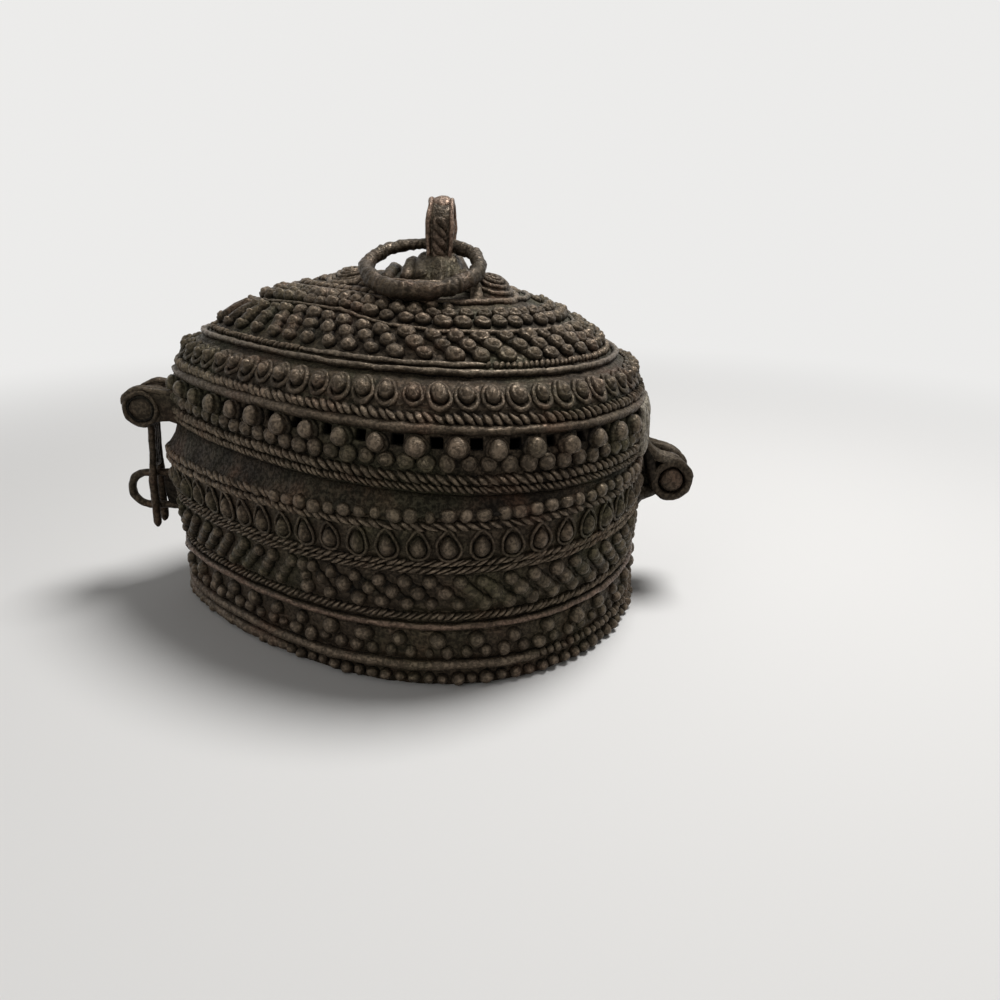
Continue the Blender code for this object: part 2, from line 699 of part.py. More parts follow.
def plate_face():
    """Inner face of the hinge plate: just outside the lid's proudest ring."""
    ring = at(RIM_OUT + SEAT_GAP + UPPER_ROPE_PROUD, UPPER_ROPE_Z)[0]
    top = SEAT @ Vector((ring, 0.0, PLATE_HIGH_Z))
    return top.x + SEAT_GAP


def add_hinge(material, pin_material, lid_hinge):
    eye = HINGE_PIN_RADIUS + SEAT_GAP
    outer = eye + HINGE_LOOP_WALL
    reach = HINGE_HALF_WIDTH + CUT_OVERRUN
    strap = add_object("hinge_lid_strap", make_hinge_strap(), material, lid_hinge)
    bore = helper("hinge_bore", prism_mesh("hinge_bore", circle(HINGE_X, HINGE_Z, eye), -reach, reach))
    cut(strap, bore)
    room = TONGUE_HALF_WIDTH + SEAT_GAP
    notch = circle(HINGE_X, HINGE_Z, outer + SEAT_GAP)
    cut(strap, helper("tongue_notch", prism_mesh("tongue_notch", notch, -room, room)))
    root_high_z = HINGE_Z - TONGUE_ROOT_DROP
    root_low_z = root_high_z - TONGUE_ROOT_HEIGHT
    root_x = BELT_HALF_LENGTH + tub_out(root_low_z) + SEAT_GAP + PANEL_PROUD + SEAT_GAP
    outline = [(root_x, root_high_z), (root_x, root_low_z)]
    outline += arc(HINGE_X, HINGE_Z, outer, radians(-70.0), radians(170.0), ROUND_STEPS)
    tongue_mesh = prism_mesh("hinge_body_lug", outline, -TONGUE_HALF_WIDTH, TONGUE_HALF_WIDTH)
    tongue = add_object("hinge_body_lug", tongue_mesh, material)
    cut(tongue, bore)
    length = HINGE_HALF_WIDTH + HINGE_PIN_REACH
    outline = circle(HINGE_X, HINGE_Z, HINGE_PIN_RADIUS)
    add_object("hinge_pin", prism_mesh("hinge_pin", outline, -length, length), pin_material)


def add_hasp(material, pin_material, lid_hinge, hasp_swing):
    eye = HASP_PIN_RADIUS + SEAT_GAP
    ear_radius = eye + HASP_EAR_WALL
    strap_radius = eye + HASP_EYE_WALL
    ear_in = HASP_HALF_WIDTH + SEAT_GAP
    ear_out = ear_in + HASP_EAR_WIDTH
    reach = ear_out + CUT_OVERRUN
    bore = helper("hasp_bore", prism_mesh("hasp_bore", circle(HASP_X, HASP_Z, eye), -reach, reach))
    ring = RIM_OUT + SEAT_GAP + UPPER_ROPE_PROUD
    root = SEAT @ Vector((-BELT_HALF_LENGTH - ring, 0.0, SEAT_Z))
    root_x = root.x - SEAT_GAP
    outline = [(root_x, HASP_Z - HASP_EAR_ROOT), (root_x, HASP_Z + HASP_EAR_ROOT)]
    outline += arc(HASP_X, HASP_Z, ear_radius, radians(70.0), radians(290.0), ROUND_STEPS)
    for name, low, high in (("hasp_ear_front", -ear_out, -ear_in), ("hasp_ear_back", ear_in, ear_out)):
        ear = add_object(name, prism_mesh(name, outline, low, high), material, lid_hinge)
        cut(ear, bore)
    length = ear_out + HINGE_PIN_REACH
    pin = prism_mesh("hasp_pin", circle(HASP_X, HASP_Z, HASP_PIN_RADIUS), -length, length)
    add_object("hasp_pin", pin, pin_material, lid_hinge)
    half = HASP_THICK / 2.0
    outline = arc(HASP_X, HASP_Z, strap_radius, radians(-65.0), radians(245.0), ROUND_STEPS)
    outline += [(HASP_TIP_X - half, HASP_TIP_Z + half), (HASP_TIP_X, HASP_TIP_Z)]
    outline += [(HASP_TIP_X + half, HASP_TIP_Z + half)]
    strap_mesh = prism_mesh("hasp_strap", outline, -HASP_HALF_WIDTH, HASP_HALF_WIDTH)
    strap = add_object("hasp_strap", strap_mesh, material, hasp_swing)
    cut(strap, bore)
    slot_top = STAPLE_Z + STAPLE_HALF_HEIGHT + STAPLE_WIRE + HASP_SLOT_BARE
    slot_low = HASP_TIP_Z - CUT_OVERRUN
    near, far = HASP_TIP_X - HASP_THICK - CUT_OVERRUN, HASP_X + HASP_THICK + CUT_OVERRUN
    slot = [(near, slot_low), (far, slot_low), (far, slot_top), (near, slot_top)]
    half_slot = HASP_SLOT_WIDTH / 2.0
    cut(strap, helper("hasp_slot", prism_mesh("hasp_slot", slot, -half_slot, half_slot)))


def tube_mesh(name, path, radius, sides, closed=False, side_axis=Vector((0.0, 1.0, 0.0))):
    """Round wire along a path that lies across side_axis."""
    count = len(path)
    points, faces = [], []
    for index, here in enumerate(path):
        before = path[(index - 1) % count] if closed or index else here
        after = path[(index + 1) % count] if closed or index < count - 1 else here
        run = (after - before).normalized()
        lift = side_axis.cross(run).normalized()
        for side in range(sides):
            turn = tau * (side + 0.5) / sides
            points.append(here + side_axis * (cos(turn) * radius) + lift * (sin(turn) * radius))
    for index in range(count if closed else count - 1):
        low, high = index * sides, ((index + 1) % count) * sides
        for side in range(sides):
            turn = (side + 1) % sides
            faces.append((low + side, low + turn, high + turn, high + side))
    if not closed:
        faces.append(tuple(range(sides)))
        faces.append(tuple(range((count - 1) * sides, count * sides)))
    return build_mesh(name, points, faces)


def add_staple(material):
    """Wire loop on the tub's pointed end, which the hasp straddles."""
    root_x = -(BELT_HALF_LENGTH + SHOULDER_OUT + SEAT_GAP + PANEL_PROUD + SEAT_GAP)
    path = [Vector((root_x, 0.0, STAPLE_Z + STAPLE_HALF_HEIGHT))]
    bend = arc(STAPLE_BEND_X, STAPLE_Z, STAPLE_HALF_HEIGHT, pi / 2.0, 3.0 * pi / 2.0, 10)
    path += [Vector((x, 0.0, z)) for x, z in bend]
    path.append(Vector((root_x, 0.0, STAPLE_Z - STAPLE_HALF_HEIGHT)))
    mesh = tube_mesh("hasp_staple", path, STAPLE_WIRE, STAPLE_SIDES)
    add_object("hasp_staple", mesh, material)


def crown_height(x, y):
    """Height of the crown's surface above a point, in the lid's own frame."""
    half_length = BELT_HALF_LENGTH + STEP_OUT
    half_depth = BELT_HALF_DEPTH + STEP_OUT
    angle = atan2(y / half_depth, x / half_length)
    edge = plan_point(half_length, half_depth, angle)
    share = hypot(x, y) / hypot(edge.x, edge.y)
    return STEP_Z + CROWN_RISE * (1.0 - share ** CROWN_POWER)


def mound_row(place, half_length, half_depth, lift, steps):
    """Ellipse that follows the crown, lifted off it."""
    row = []
    for index in range(steps):
        turn = tau * index / steps
        x = place[0] + half_length * cos(turn)
        y = place[1] + half_depth * sin(turn)
        row.append(Vector((x, y, crown_height(x, y) + lift)))
    return row


def make_boss():
    """Low round boss that stands on the crown."""
    x = BOSS_X_SHARE * (BELT_HALF_LENGTH + STEP_OUT)
    y = -BOSS_Y_SHARE * (BELT_HALF_DEPTH + STEP_OUT)
    rows = []
    shape = (
        (BOSS_UNDER_SHARE, 0.0),
        (1.0, 0.0),
        (1.0, BOSS_EDGE),
        (BOSS_SIDE_SHARE, BOSS_SIDE),
        (BOSS_TOP_SHARE, BOSS_RISE),
    )
    for share, lift in shape:
        half_length = BOSS_HALF_LENGTH * share
        half_depth = BOSS_HALF_DEPTH * share
        rows.append(mound_row((x, y), half_length, half_depth, SEAT_GAP + lift, BOSS_STEPS))
    return stack_mesh("crown_boss", rows)


def pedestal_row(share, lift):
    """A row of the pedestal that follows the crown."""
    half_length = PEDESTAL_HALF_LENGTH * share
    return mound_row((PEDESTAL_X, 0.0), half_length, PEDESTAL_HALF_DEPTH * share, lift, ROUND_STEPS)


def make_pedestal():
    """Mound that follows the crown below and carries the arch on top."""
    rows = [pedestal_row(share, SEAT_GAP) for share in PEDESTAL_UNDER_SHARES]
    rows.append(pedestal_row(1.0, SEAT_GAP + PEDESTAL_EDGE))
    rows.append(pedestal_row(PEDESTAL_SIDE_SHARE, PEDESTAL_EDGE + PEDESTAL_SIDE))
    top = []
    for index in range(ROUND_STEPS):
        turn = tau * index / ROUND_STEPS
        x = ARCH_X + PEDESTAL_TOP_HALF_LENGTH * cos(turn)
        top.append(Vector((x, PEDESTAL_TOP_HALF_DEPTH * sin(turn), PEDESTAL_TOP_Z)))
    return stack_mesh("top_pedestal", rows + [top])


def make_arch():
    """Flat strap bent over the ring's eye, its feet on the pedestal."""
    low = PEDESTAL_TOP_Z + SEAT_GAP
    center = ARCH_TOP_Z - ARCH_HALF_SPAN
    half = ARCH_WIDTH / 2.0
    outer = arc(0.0, center, ARCH_HALF_SPAN, 0.0, pi, ROUND_STEPS // 2)
    inner = arc(0.0, center, ARCH_HALF_SPAN - ARCH_WALL, pi, 0.0, ROUND_STEPS // 2)
    outline = [(ARCH_HALF_SPAN, low)] + outer + [(-ARCH_HALF_SPAN, low)]
    outline += [(-ARCH_HALF_SPAN + ARCH_WALL, low)] + inner + [(ARCH_HALF_SPAN - ARCH_WALL, low)]
    mesh = prism_mesh("top_arch", outline, -half, half)
    mesh.transform(Matrix.Translation((ARCH_X, 0.0, 0.0)) @ Matrix.Rotation(pi / 2.0, 4, "Z"))
    return mesh


def ring_axis():
    """Where the ring's wire lies in the arch's eye, just above its sill."""
    sill = SEAT @ Vector((ARCH_X, 0.0, PEDESTAL_TOP_Z))
    return Vector((RING_X, 0.0, sill.z + RING_CLEARANCE + RING_WIRE))


def make_ring():
    """Loose ring, leaning forward from the arch's eye onto the crown."""
    lean = Vector((0.0, -cos(RING_LEAN), -sin(RING_LEAN)))
    axis = ring_axis()
    across = Vector((1.0, 0.0, 0.0))
    path = []
    for index in range(RING_STEPS):
        turn = tau * index / RING_STEPS
        path.append(axis + lean * (RING_RADIUS * (1.0 - cos(turn))) + across * (RING_RADIUS * sin(turn)))
    return tube_mesh("top_ring", path, RING_WIRE, RING_SIDES, True, lean.cross(across))


def add_crown_pieces(material, lid_hinge, ring_swing):
    add_object("top_pedestal", make_pedestal(), material, lid_hinge, True)
    add_object("top_arch", make_arch(), material, lid_hinge, True)
    add_object("crown_boss", make_boss(), material, lid_hinge, True)
    add_object("top_ring", make_ring(), material, ring_swing)


def stack_mesh(name, rows):
    """Skin through rows of points, with flat ends."""
    count = len(rows[0])
    points = [point for row in rows for point in row]
    faces = [tuple(range(count)), tuple(range((len(rows) - 1) * count, len(rows) * count))]
    for level in range(len(rows) - 1):
        low, high = level * count, (level + 1) * count
        for side in range(count):
            turn = (side + 1) % count
            faces.append((low + side, low + turn, high + turn, high + side))
    return build_mesh(name, points, faces)


def make_box():
    brown = metal("worn_brown_brass", (0.13, 0.1, 0.075), 0.55)
    green = metal("green_brass", (0.12, 0.115, 0.08), 0.6)
    steel = metal("pin_brass", (0.16, 0.14, 0.115), 0.45)
    lid_hinge = add_empty("lid_hinge", (HINGE_X, 0.0, HINGE_Z))
    hasp_swing = add_empty("hasp_swing", (HASP_X, 0.0, HASP_Z))
    ring_swing = add_empty("ring_swing", ring_axis())
    add_object("body_shell", make_tub_shell(), brown)
    add_tub_rings(brown)
    add_lid_shell(green, lid_hinge)
    add_lid_rings(brown, lid_hinge)
    add_hinge(green, steel, lid_hinge)
    add_hasp(brown, steel, lid_hinge, hasp_swing)
    add_staple(brown)
    add_crown_pieces(brown, lid_hinge, ring_swing)


SEAT = seat_matrix()
clear_scene()
make_box()
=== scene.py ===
"""Looks of the beaded brass box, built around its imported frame.

Every length here is in millimetres until it reaches Blender.  A Skin is a wall
of the box, and what is laid on it is given by u, the share of the way round,
v, the distance up the wall, and w, the height off it.  Beads, ropes, wires
and drops are laid on the two skins, and the fittings are swept wires.
"""

from math import cos, pi, radians, sin, tau

import bpy
import numpy as np
from mathutils import Matrix, Vector


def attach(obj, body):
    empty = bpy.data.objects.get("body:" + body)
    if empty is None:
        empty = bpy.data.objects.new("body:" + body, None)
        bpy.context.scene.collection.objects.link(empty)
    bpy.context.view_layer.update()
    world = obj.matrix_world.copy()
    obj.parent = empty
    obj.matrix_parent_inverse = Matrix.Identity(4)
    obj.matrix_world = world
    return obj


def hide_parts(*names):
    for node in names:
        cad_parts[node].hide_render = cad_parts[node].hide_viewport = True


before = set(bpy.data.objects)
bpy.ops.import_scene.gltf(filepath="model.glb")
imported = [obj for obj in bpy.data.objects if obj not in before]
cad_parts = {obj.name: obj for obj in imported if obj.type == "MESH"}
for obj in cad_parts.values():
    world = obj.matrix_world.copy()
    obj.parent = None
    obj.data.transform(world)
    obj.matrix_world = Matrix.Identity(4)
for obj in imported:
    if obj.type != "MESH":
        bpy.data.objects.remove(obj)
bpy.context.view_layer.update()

MM = 0.001

# Plan of the box at the lid's belt wire, as in the frame
BELT_HALF_LENGTH = 55.0
BELT_HALF_DEPTH = 41.25
EGG_SHARE = 0.346
FULL_SHARE = -0.09

# The lid's lean, as in the frame
LID_LEAN = radians(2.79)
LEAN_X = 60.5
LEAN_Z = 40.3
LID_SHIFT = 1.5

# Tub: heights of its wall, and how far it stands outside the belt plan there
TUB_STATIONS = ((0.0, 1.2), (13.6, 0.7), (37.6, 2.2), (39.4, 1.3))
SHOULDER_Z = 37.6
SHOULDER_SWELL = ((0.02, 0.7), (0.1, 1.0), (0.2, 0.85), (0.35, 0.45), (0.6, 0.1), (1.0, 0.0))
TUB_WALL = 2.2
TUB_FLOOR = 2.6
SEAT_Z = 39.0
SEAT_OUT = 0.9
NECK_OUT = -1.9
NECK_HEIGHT = 4.0
NECK_TAPER = 0.6
NECK_WALL = 1.8

# Lid: the same for its wall, and the crown above its step
STEP_Z = 59.8
STEP_OUT = -6.9
LID_STATIONS = (
    (39.3, 0.9), (46.9, 0.4), (49.3, 0.2), (51.25, -0.8), (55.0, -1.2), (58.4, -4.2),
    (STEP_Z, STEP_OUT),
)
LID_WALL = 2.0
CROWN_HALF_LENGTH = BELT_HALF_LENGTH + STEP_OUT
CROWN_HALF_DEPTH = BELT_HALF_DEPTH + STEP_OUT
CROWN_RISE = 15.6
CROWN_POWER = 2.3

rng = np.random.default_rng(7)

# Waves whose sum makes every cast surface a little uneven
WAVE_COUNT = 12
WAVE_LENGTHS = (1.3, 5.0)
WAVE_HEIGHT = 0.028
WAVES = rng.normal(0.0, 1.0, (WAVE_COUNT, 3))
WAVES *= (tau / rng.uniform(*WAVE_LENGTHS, WAVE_COUNT) / np.linalg.norm(WAVES, axis=1))[:, None]
WAVE_STARTS = rng.uniform(0.0, tau, (WAVE_COUNT, 3))

ALONG_X = (1.0, 0.0, 0.0)
ALONG_Y = (0.0, 1.0, 0.0)
ALONG_Z = (0.0, 0.0, 1.0)


def seat_matrix():
    """Places what is modelled in the lid's own frame on the tub."""
    pivot = Vector((LEAN_X, 0.0, LEAN_Z))
    turn = Matrix.Rotation(LID_LEAN, 4, "Y")
    slide = Matrix.Translation(Vector((LID_SHIFT, 0.0, 0.0)))
    return np.array(Matrix.Translation(pivot) @ turn @ Matrix.Translation(-pivot) @ slide)


SEAT = seat_matrix()
UPRIGHT = np.eye(4)


def moved(matrix, points):
    return points @ matrix[:3, :3].T + matrix[:3, 3]


def uneven_cast(points):
    """Points shifted by a hair, neighbours alike, as wax and sand leave them."""
    phase = points @ WAVES.T
    shifts = [np.sin(phase + WAVE_STARTS[:, axis]).sum(1) for axis in range(3)]
    return points + np.stack(shifts, -1) * WAVE_HEIGHT


def around(number, first=0.0):
    """Angles evenly round a full turn."""
    return (np.arange(number) + first) * tau / number


def unit(vectors):
    return vectors / np.linalg.norm(vectors, axis=-1, keepdims=True)


def distance(points):
    """How far along its path each point is."""
    steps = np.linalg.norm(np.diff(points, axis=0), axis=1)
    return np.concatenate([[0.0], np.cumsum(steps)])


def stepped(points, number):
    """The same path in evenly spaced points."""
    run = distance(points)
    fine = np.linspace(0.0, run[-1], number)
    return np.stack([np.interp(fine, run, points[:, axis]) for axis in range(3)], -1)


def plan(half_length, half_depth, angle):
    """Egg plan: round toward +X, pointed toward -X."""
    swell = 1.0 + EGG_SHARE * np.cos(angle) + FULL_SHARE * np.cos(2.0 * angle)
    return half_length * np.cos(angle), half_depth * np.sin(angle) * swell


# Plan angles, and the share of the belt wire's length run at each
ANGLES = np.linspace(0.0, tau, 2881)
SHARES = distance(np.stack(plan(BELT_HALF_LENGTH, BELT_HALF_DEPTH, ANGLES), -1))
SHARES /= SHARES[-1]


class Skin:
    """A wall of the box, from its lowest row up."""

    def __init__(self, rows, matrix):
        self.rows = smoothed(np.array(rows, float))
        self.along = distance(self.rows[:, [0, 2]])
        self.matrix = matrix
        self.marks = np.linspace(0.0, self.along[-1], 60)
        self.girths = np.array([self.girth_at(mark) for mark in self.marks])

    def flat(self, u, v):
        """Points of the bare wall, before the lid's lean."""
        angle = np.interp(np.mod(u, 1.0), SHARES, ANGLES)
        row = (np.interp(v, self.along, self.rows[:, axis]) for axis in range(3))
        half_length, half_depth, z = row
        x, y = plan(half_length, half_depth, angle)
        return np.stack([x, y, z + 0.0 * angle], -1)

    def girth_at(self, v):
        return distance(self.flat(np.linspace(0.0, 1.0, 721), v))[-1]

    def girth(self, v):
        """Length of the way round at v."""
        return np.interp(v, self.marks, self.girths)

    def up(self, z):
        """v of the row at a height, in the skin's own frame."""
        return float(np.interp(z, self.rows[:, 2], self.along))

    def place(self, u, v, w):
        """Points at u, v and w, which broadcast to one shape."""
        u, v, w = np.broadcast_arrays(u, v, w)
        near, low = 0.0015, 0.15
        across = self.flat(u + near, v) - self.flat(u - near, v)
        upward = self.flat(u, v + low) - self.flat(u, v - low)
        normal = unit(np.cross(across, upward))
        return moved(self.matrix, self.flat(u, v) + normal * w[..., None])


def smoothed(rows):
    """The same rows made dense, with their corners rounded a little."""
    dense = stepped(rows, int(distance(rows)[-1] / 0.15) + 2)
    padded = np.concatenate([np.repeat(dense[:1], 4, 0), dense, np.repeat(dense[-1:], 4, 0)])
    kernel = np.ones(9) / 9.0
    soft = np.stack([np.convolve(padded[:, axis], kernel, "valid") for axis in range(3)], -1)
    soft[0], soft[-1] = dense[0], dense[-1]
    return soft


def wall_rows(stations):
    return [(BELT_HALF_LENGTH + out, BELT_HALF_DEPTH + out, z) for z, out in stations]


def crown_z(share):
    """Height of the crown's row at a share of the step's plan."""
    return STEP_Z + CROWN_RISE * (1.0 - share ** CROWN_POWER)


def crown_rows():
    """Rows from just above the step to the apex."""
    shares = np.linspace(0.99, 0.03, 60)
    return [(CROWN_HALF_LENGTH * s, CROWN_HALF_DEPTH * s, crown_z(s)) for s in shares]


TUB = Skin(wall_rows(TUB_STATIONS), UPRIGHT)
LID = Skin(wall_rows(LID_STATIONS) + crown_rows(), SEAT)


def crown_up(share):
    """v on the lid of the crown's row at a share of the step's plan."""
    return LID.up(crown_z(share))


# Materials: procedural patina, with painted shade and painted highlight.  "rise" is 0 in the
# recesses, painted dark as shade, and 1 on what stands proud, painted lighter as rubbed wear and
# painted highlight

# The darkest brown is painted shade in the recesses.
PAINTED_SHADE_BROWN = (0.0055, 0.0039, 0.0026, 1.0)
MID_BROWN = (0.045, 0.0325, 0.0205, 1.0)
# The high colours are rubbed wear and painted highlight on what stands proud.
WEAR_AND_HIGHLIGHT_BROWN = (0.172, 0.131, 0.092, 1.0)
WEAR_AND_HIGHLIGHT_RUDDY = (0.235, 0.155, 0.112, 1.0)
OLIVE = (0.052, 0.049, 0.024, 1.0)
RED_BROWN = (0.085, 0.038, 0.022, 1.0)
# Painted sheen: a grey painted on proud parts in place of a reflection.
PAINTED_GREY_SHEEN = (0.2, 0.178, 0.14, 1.0)
FOLD_GREEN = (0.019, 0.018, 0.0105, 1.0)
BACKGROUND = (0.84, 0.835, 0.825, 1.0)
FLOOR_SEEN = (0.72, 0.71, 0.695, 1.0)
FLOOR_LIT = (0.3, 0.295, 0.29, 1.0)
WORLD_LIGHT = 0.17


class Net:
    """Nodes of a material or world.  An input takes a value or an output."""

    def __init__(self, owner):
        owner.use_nodes = True
        self.tree = owner.node_tree

    def feed(self, made, inputs):
        for name, value in inputs.items():
            if isinstance(value, bpy.types.NodeSocket):
                self.tree.links.new(value, made.inputs[name])
            else:
                made.inputs[name].default_value = value

    def add(self, kind, inputs=None, **settings):
        made = self.tree.nodes.new(kind)
        for name, value in settings.items():
            setattr(made, name, value)
        self.feed(made, inputs or {})
        return made

    def maths(self, operation, first, second):
        return self.add("ShaderNodeMath", {0: first, 1: second}, operation=operation).outputs[0]

    def times(self, first, second):
        return self.maths("MULTIPLY", first, second)

    def plus(self, first, second):
        return self.maths("ADD", first, second)

    def noise(self, position, scale, detail=4.0, rough=0.6):
        inputs = {"Vector": position, "Scale": scale, "Detail": detail, "Roughness": rough}
        return self.add("ShaderNodeTexNoise", inputs).outputs["Fac"]

    def ramp(self, value, low, high, low_to=0.0, high_to=1.0):
        inputs = {"Value": value, "From Min": low, "From Max": high}
        inputs |= {"To Min": low_to, "To Max": high_to}
        made = self.add("ShaderNodeMapRange", inputs, interpolation_type="SMOOTHSTEP")
        return made.outputs["Result"]

    def mix(self, factor, first, second):
        inputs = {0: factor, 6: first, 7: second}
        return self.add("ShaderNodeMix", inputs, data_type="RGBA").outputs[2]

    def seen(self):
        """1 for a ray from the camera, a reflection or a clear surface."""
        rays = self.add("ShaderNodeLightPath").outputs
        seen = self.maths("MAXIMUM", rays["Is Camera Ray"], rays["Is Glossy Ray"])
        return self.maths("MAXIMUM", seen, rays["Is Transmission Ray"])


def patina(name, green=0.3, wear_and_highlight=0.7, red=0.4, painted_sheen=0.0, smooth=0.46, grain=0.6, high=WEAR_AND_HIGHLIGHT_BROWN):
    """Aged cast brass: painted shade in the recesses, rubbed wear and painted highlight on what
    stands proud, and a painted grey sheen where asked.
    """
    material = bpy.data.materials.new(name)
    net = Net(material)
    position = net.add("ShaderNodeTexCoord").outputs["Object"]
    rise = net.add("ShaderNodeAttribute", attribute_name="rise").outputs["Fac"]
    broad = net.noise(position, 38.0, 3.0)
    patch = net.noise(position, 170.0)
    cloud = net.noise(position, 85.0)
    fine = net.ramp(net.noise(position, 1250.0, 3.0, 0.65), 0.36, 0.64)
    height = net.plus(rise, net.times(net.maths("SUBTRACT", patch, 0.5), 0.7))
    # Painted shade: dark in the recesses, by rise.
    color = net.mix(net.ramp(height, 0.02, 0.5), PAINTED_SHADE_BROWN, MID_BROWN)
    # Rubbed wear and painted highlight: lighter on what stands proud.
    color = net.mix(net.times(net.ramp(height, 0.5, 1.1), wear_and_highlight), color, high)
    color = net.mix(net.times(net.ramp(cloud, 0.5, 0.72), red), color, RED_BROWN)
    color = net.mix(net.times(net.ramp(broad, 0.45, 0.66), green), color, OLIVE)
    folds = net.times(net.ramp(height, 0.5, 0.15), net.ramp(broad, 0.4, 0.6))
    color = net.mix(net.times(folds, green), color, FOLD_GREEN)
    # Painted sheen: grey on what stands proud, in place of a reflection.
    if painted_sheen:
        color = net.mix(net.times(net.ramp(height, 0.5, 1.05), painted_sheen), color, PAINTED_GREY_SHEEN)
    mottle = net.ramp(fine, 0.0, 1.0, 0.66, 1.36)
    mottled = net.add("ShaderNodeVectorMath", {0: color, "Scale": mottle}, operation="SCALE")
    dull = net.times(net.ramp(height, 0.6, 0.1), 0.25)
    rough = net.plus(net.ramp(fine, 0.0, 1.0, smooth + 0.16, smooth - 0.1), dull)
    relief = net.plus(fine, net.times(patch, 2.0))
    bump = net.add("ShaderNodeBump", {"Strength": grain, "Distance": 0.0002, "Height": relief})
    net.feed(net.tree.nodes["Principled BSDF"], {
        "Base Color": mottled.outputs[0],
        "Metallic": 0.55,
        "Specular IOR Level": 0.25,
        "Roughness": rough,
        "Normal": bump.outputs["Normal"],
    })
    return material


BROWN = patina("aged_brown")
# A darker copy of the brown, for the hasp and its fittings: painted shade, as that end of the box
# stands in shadow.
DARK = patina("shaded_dark", green=0.1, wear_and_highlight=0.15, red=0.3, smooth=0.44, grain=0.5)
GREEN = patina("aged_green", green=0.6, wear_and_highlight=0.62, red=0.12)
MOSSY = patina("aged_mossy", green=0.65, wear_and_highlight=0.65, red=0.15)
# Pale green patina with a strong painted sheen, for the hinge.
PALE = patina("pale_painted_sheen", green=0.5, wear_and_highlight=0.95, red=0.0, painted_sheen=0.85, smooth=0.4)
# Rubbed brass with a little painted sheen.
WORN_SHEENED = patina("rubbed_painted_sheen", green=0.2, wear_and_highlight=0.6, red=0.25, painted_sheen=0.15, smooth=0.42, grain=0.55)
RUDDY = patina("ruddy", green=0.1, wear_and_highlight=0.8, red=0.55, smooth=0.42, grain=0.5, high=WEAR_AND_HIGHLIGHT_RUDDY)
BELT = patina("rubbed_belt", green=0.15, wear_and_highlight=0.42, red=0.35, smooth=0.5, grain=0.5)


def in_scene(name, data):
    """A new object of this data, linked to the scene."""
    item = bpy.data.objects.new(name, data)
    bpy.context.scene.collection.objects.link(item)
    return item


class Shape:
    """Points, faces and how high each point stands, for one piece on a body.  How high a point
    stands sets its painted shade and painted highlight.

    matrix places the wires and lumps, which may be modelled in the lid's own frame.
    """

    def __init__(self, body, matrix=UPRIGHT):
        self.body, self.matrix = body, matrix
        self.points, self.faces, self.rise, self.count = [], [], [], 0

    def add(self, points, faces, rise):
        """Adds closed surfaces, turned so that they face outward."""
        points, faces = np.asarray(points, float).reshape(-1, 3), np.asarray(faces)
        a, b, c, d = (points[faces[:, corner]] for corner in range(4))
        if np.sum(a * np.cross(b, c)) + np.sum(a * np.cross(c, d)) < 0.0:
            faces = faces[:, [0, 3, 2, 1]]
        self.points.append(points)
        self.faces.append(faces + self.count)
        self.rise.append(np.broadcast_to(rise, len(points)).astype(float))
        self.count += len(points)
        return self

    def build(self, name, node, material=BROWN, slot="brown_patina"):
        """Makes the piece, which stands for a CAD node."""
        faces = [tuple(dict.fromkeys(face)) for block in self.faces for face in block.tolist()]
        mesh = bpy.data.meshes.new(name)
        mesh.from_pydata((uneven_cast(np.concatenate(self.points)) * MM).tolist(), [], faces)
        # rise drives the patina's painted shade and painted highlight.
        layer = mesh.attributes.new("rise", "FLOAT", "POINT")
        layer.data.foreach_set("value", np.concatenate(self.rise).astype(np.float32))
        mesh.validate()
        mesh.shade_smooth()
        mesh.materials.append(material)
        piece = in_scene(name, mesh)
        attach(piece, self.body)
        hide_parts(node)


def grid_faces(rows, columns, wrap_rows, wrap_columns):
    """Quads of a grid of points, row by row."""
    row = np.arange(rows if wrap_rows else rows - 1)
    column = np.arange(columns if wrap_columns else columns - 1)
    r, c = np.meshgrid(row, column, indexing="ij")
    below, above = r * columns, (r + 1) % rows * columns
    next_c = (c + 1) % columns
    return np.stack([below + c, below + next_c, above + next_c, above + c], -1).reshape(-1, 4)


def cap_faces(first, count, outward):
    """Fan over a ring of points, as quads whose last two corners are one."""
    near = np.arange(first + 1, first + count - 1)
    fan = np.stack([np.full(count - 2, first), near, near + 1, near + 1], -1)
    return fan if outward else fan[:, [0, 2, 1, 1]]


def tube_faces(number, sides, closed):
    """Faces of a tube of rings of points, with flat ends if it is open."""
    faces = grid_faces(number, sides, closed, True)
    if closed:
        return faces
    ends = cap_faces(0, sides, False), cap_faces((number - 1) * sides, sides, True)
    return np.concatenate([faces, *ends])


# Moulds: points and faces of one bead or wire, which stamp() lays on a skin

def turned(profile, sides, square=1.0):
    """Mould turned about w from (radius, height) pairs, pole to pole."""
    turns = around(sides, 0.5)
    x, y = (np.sign(way) * np.abs(way) ** square for way in (np.cos(turns), np.sin(turns)))
    rings = [np.stack([x * out, y * out, np.full(sides, up)], -1) for out, up in profile[1:-1]]
    points = np.concatenate([[(0.0, 0.0, profile[0][1])], *rings, [(0.0, 0.0, profile[-1][1])]])
    faces = (grid_faces(len(rings), sides, False, True) + 1).tolist()
    last, top = len(points) - 1, 1 + (len(rings) - 1) * sides
    for index in range(sides):
        side = (index + 1) % sides
        faces.append((0, 1 + side, 1 + index, 1 + index))
        faces.append((last, top + index, top + side, top + side))
    return points, np.array(faces)


def dome(rings, low=-35.0, square=1.0):
    """Ball's profile, cut off at an angle below its middle."""
    angles = np.linspace(radians(low), pi / 2.0, rings + 1)
    profile = [(np.cos(a) ** square, np.sin(a)) for a in angles]
    return [(0.0, profile[0][1])] + profile


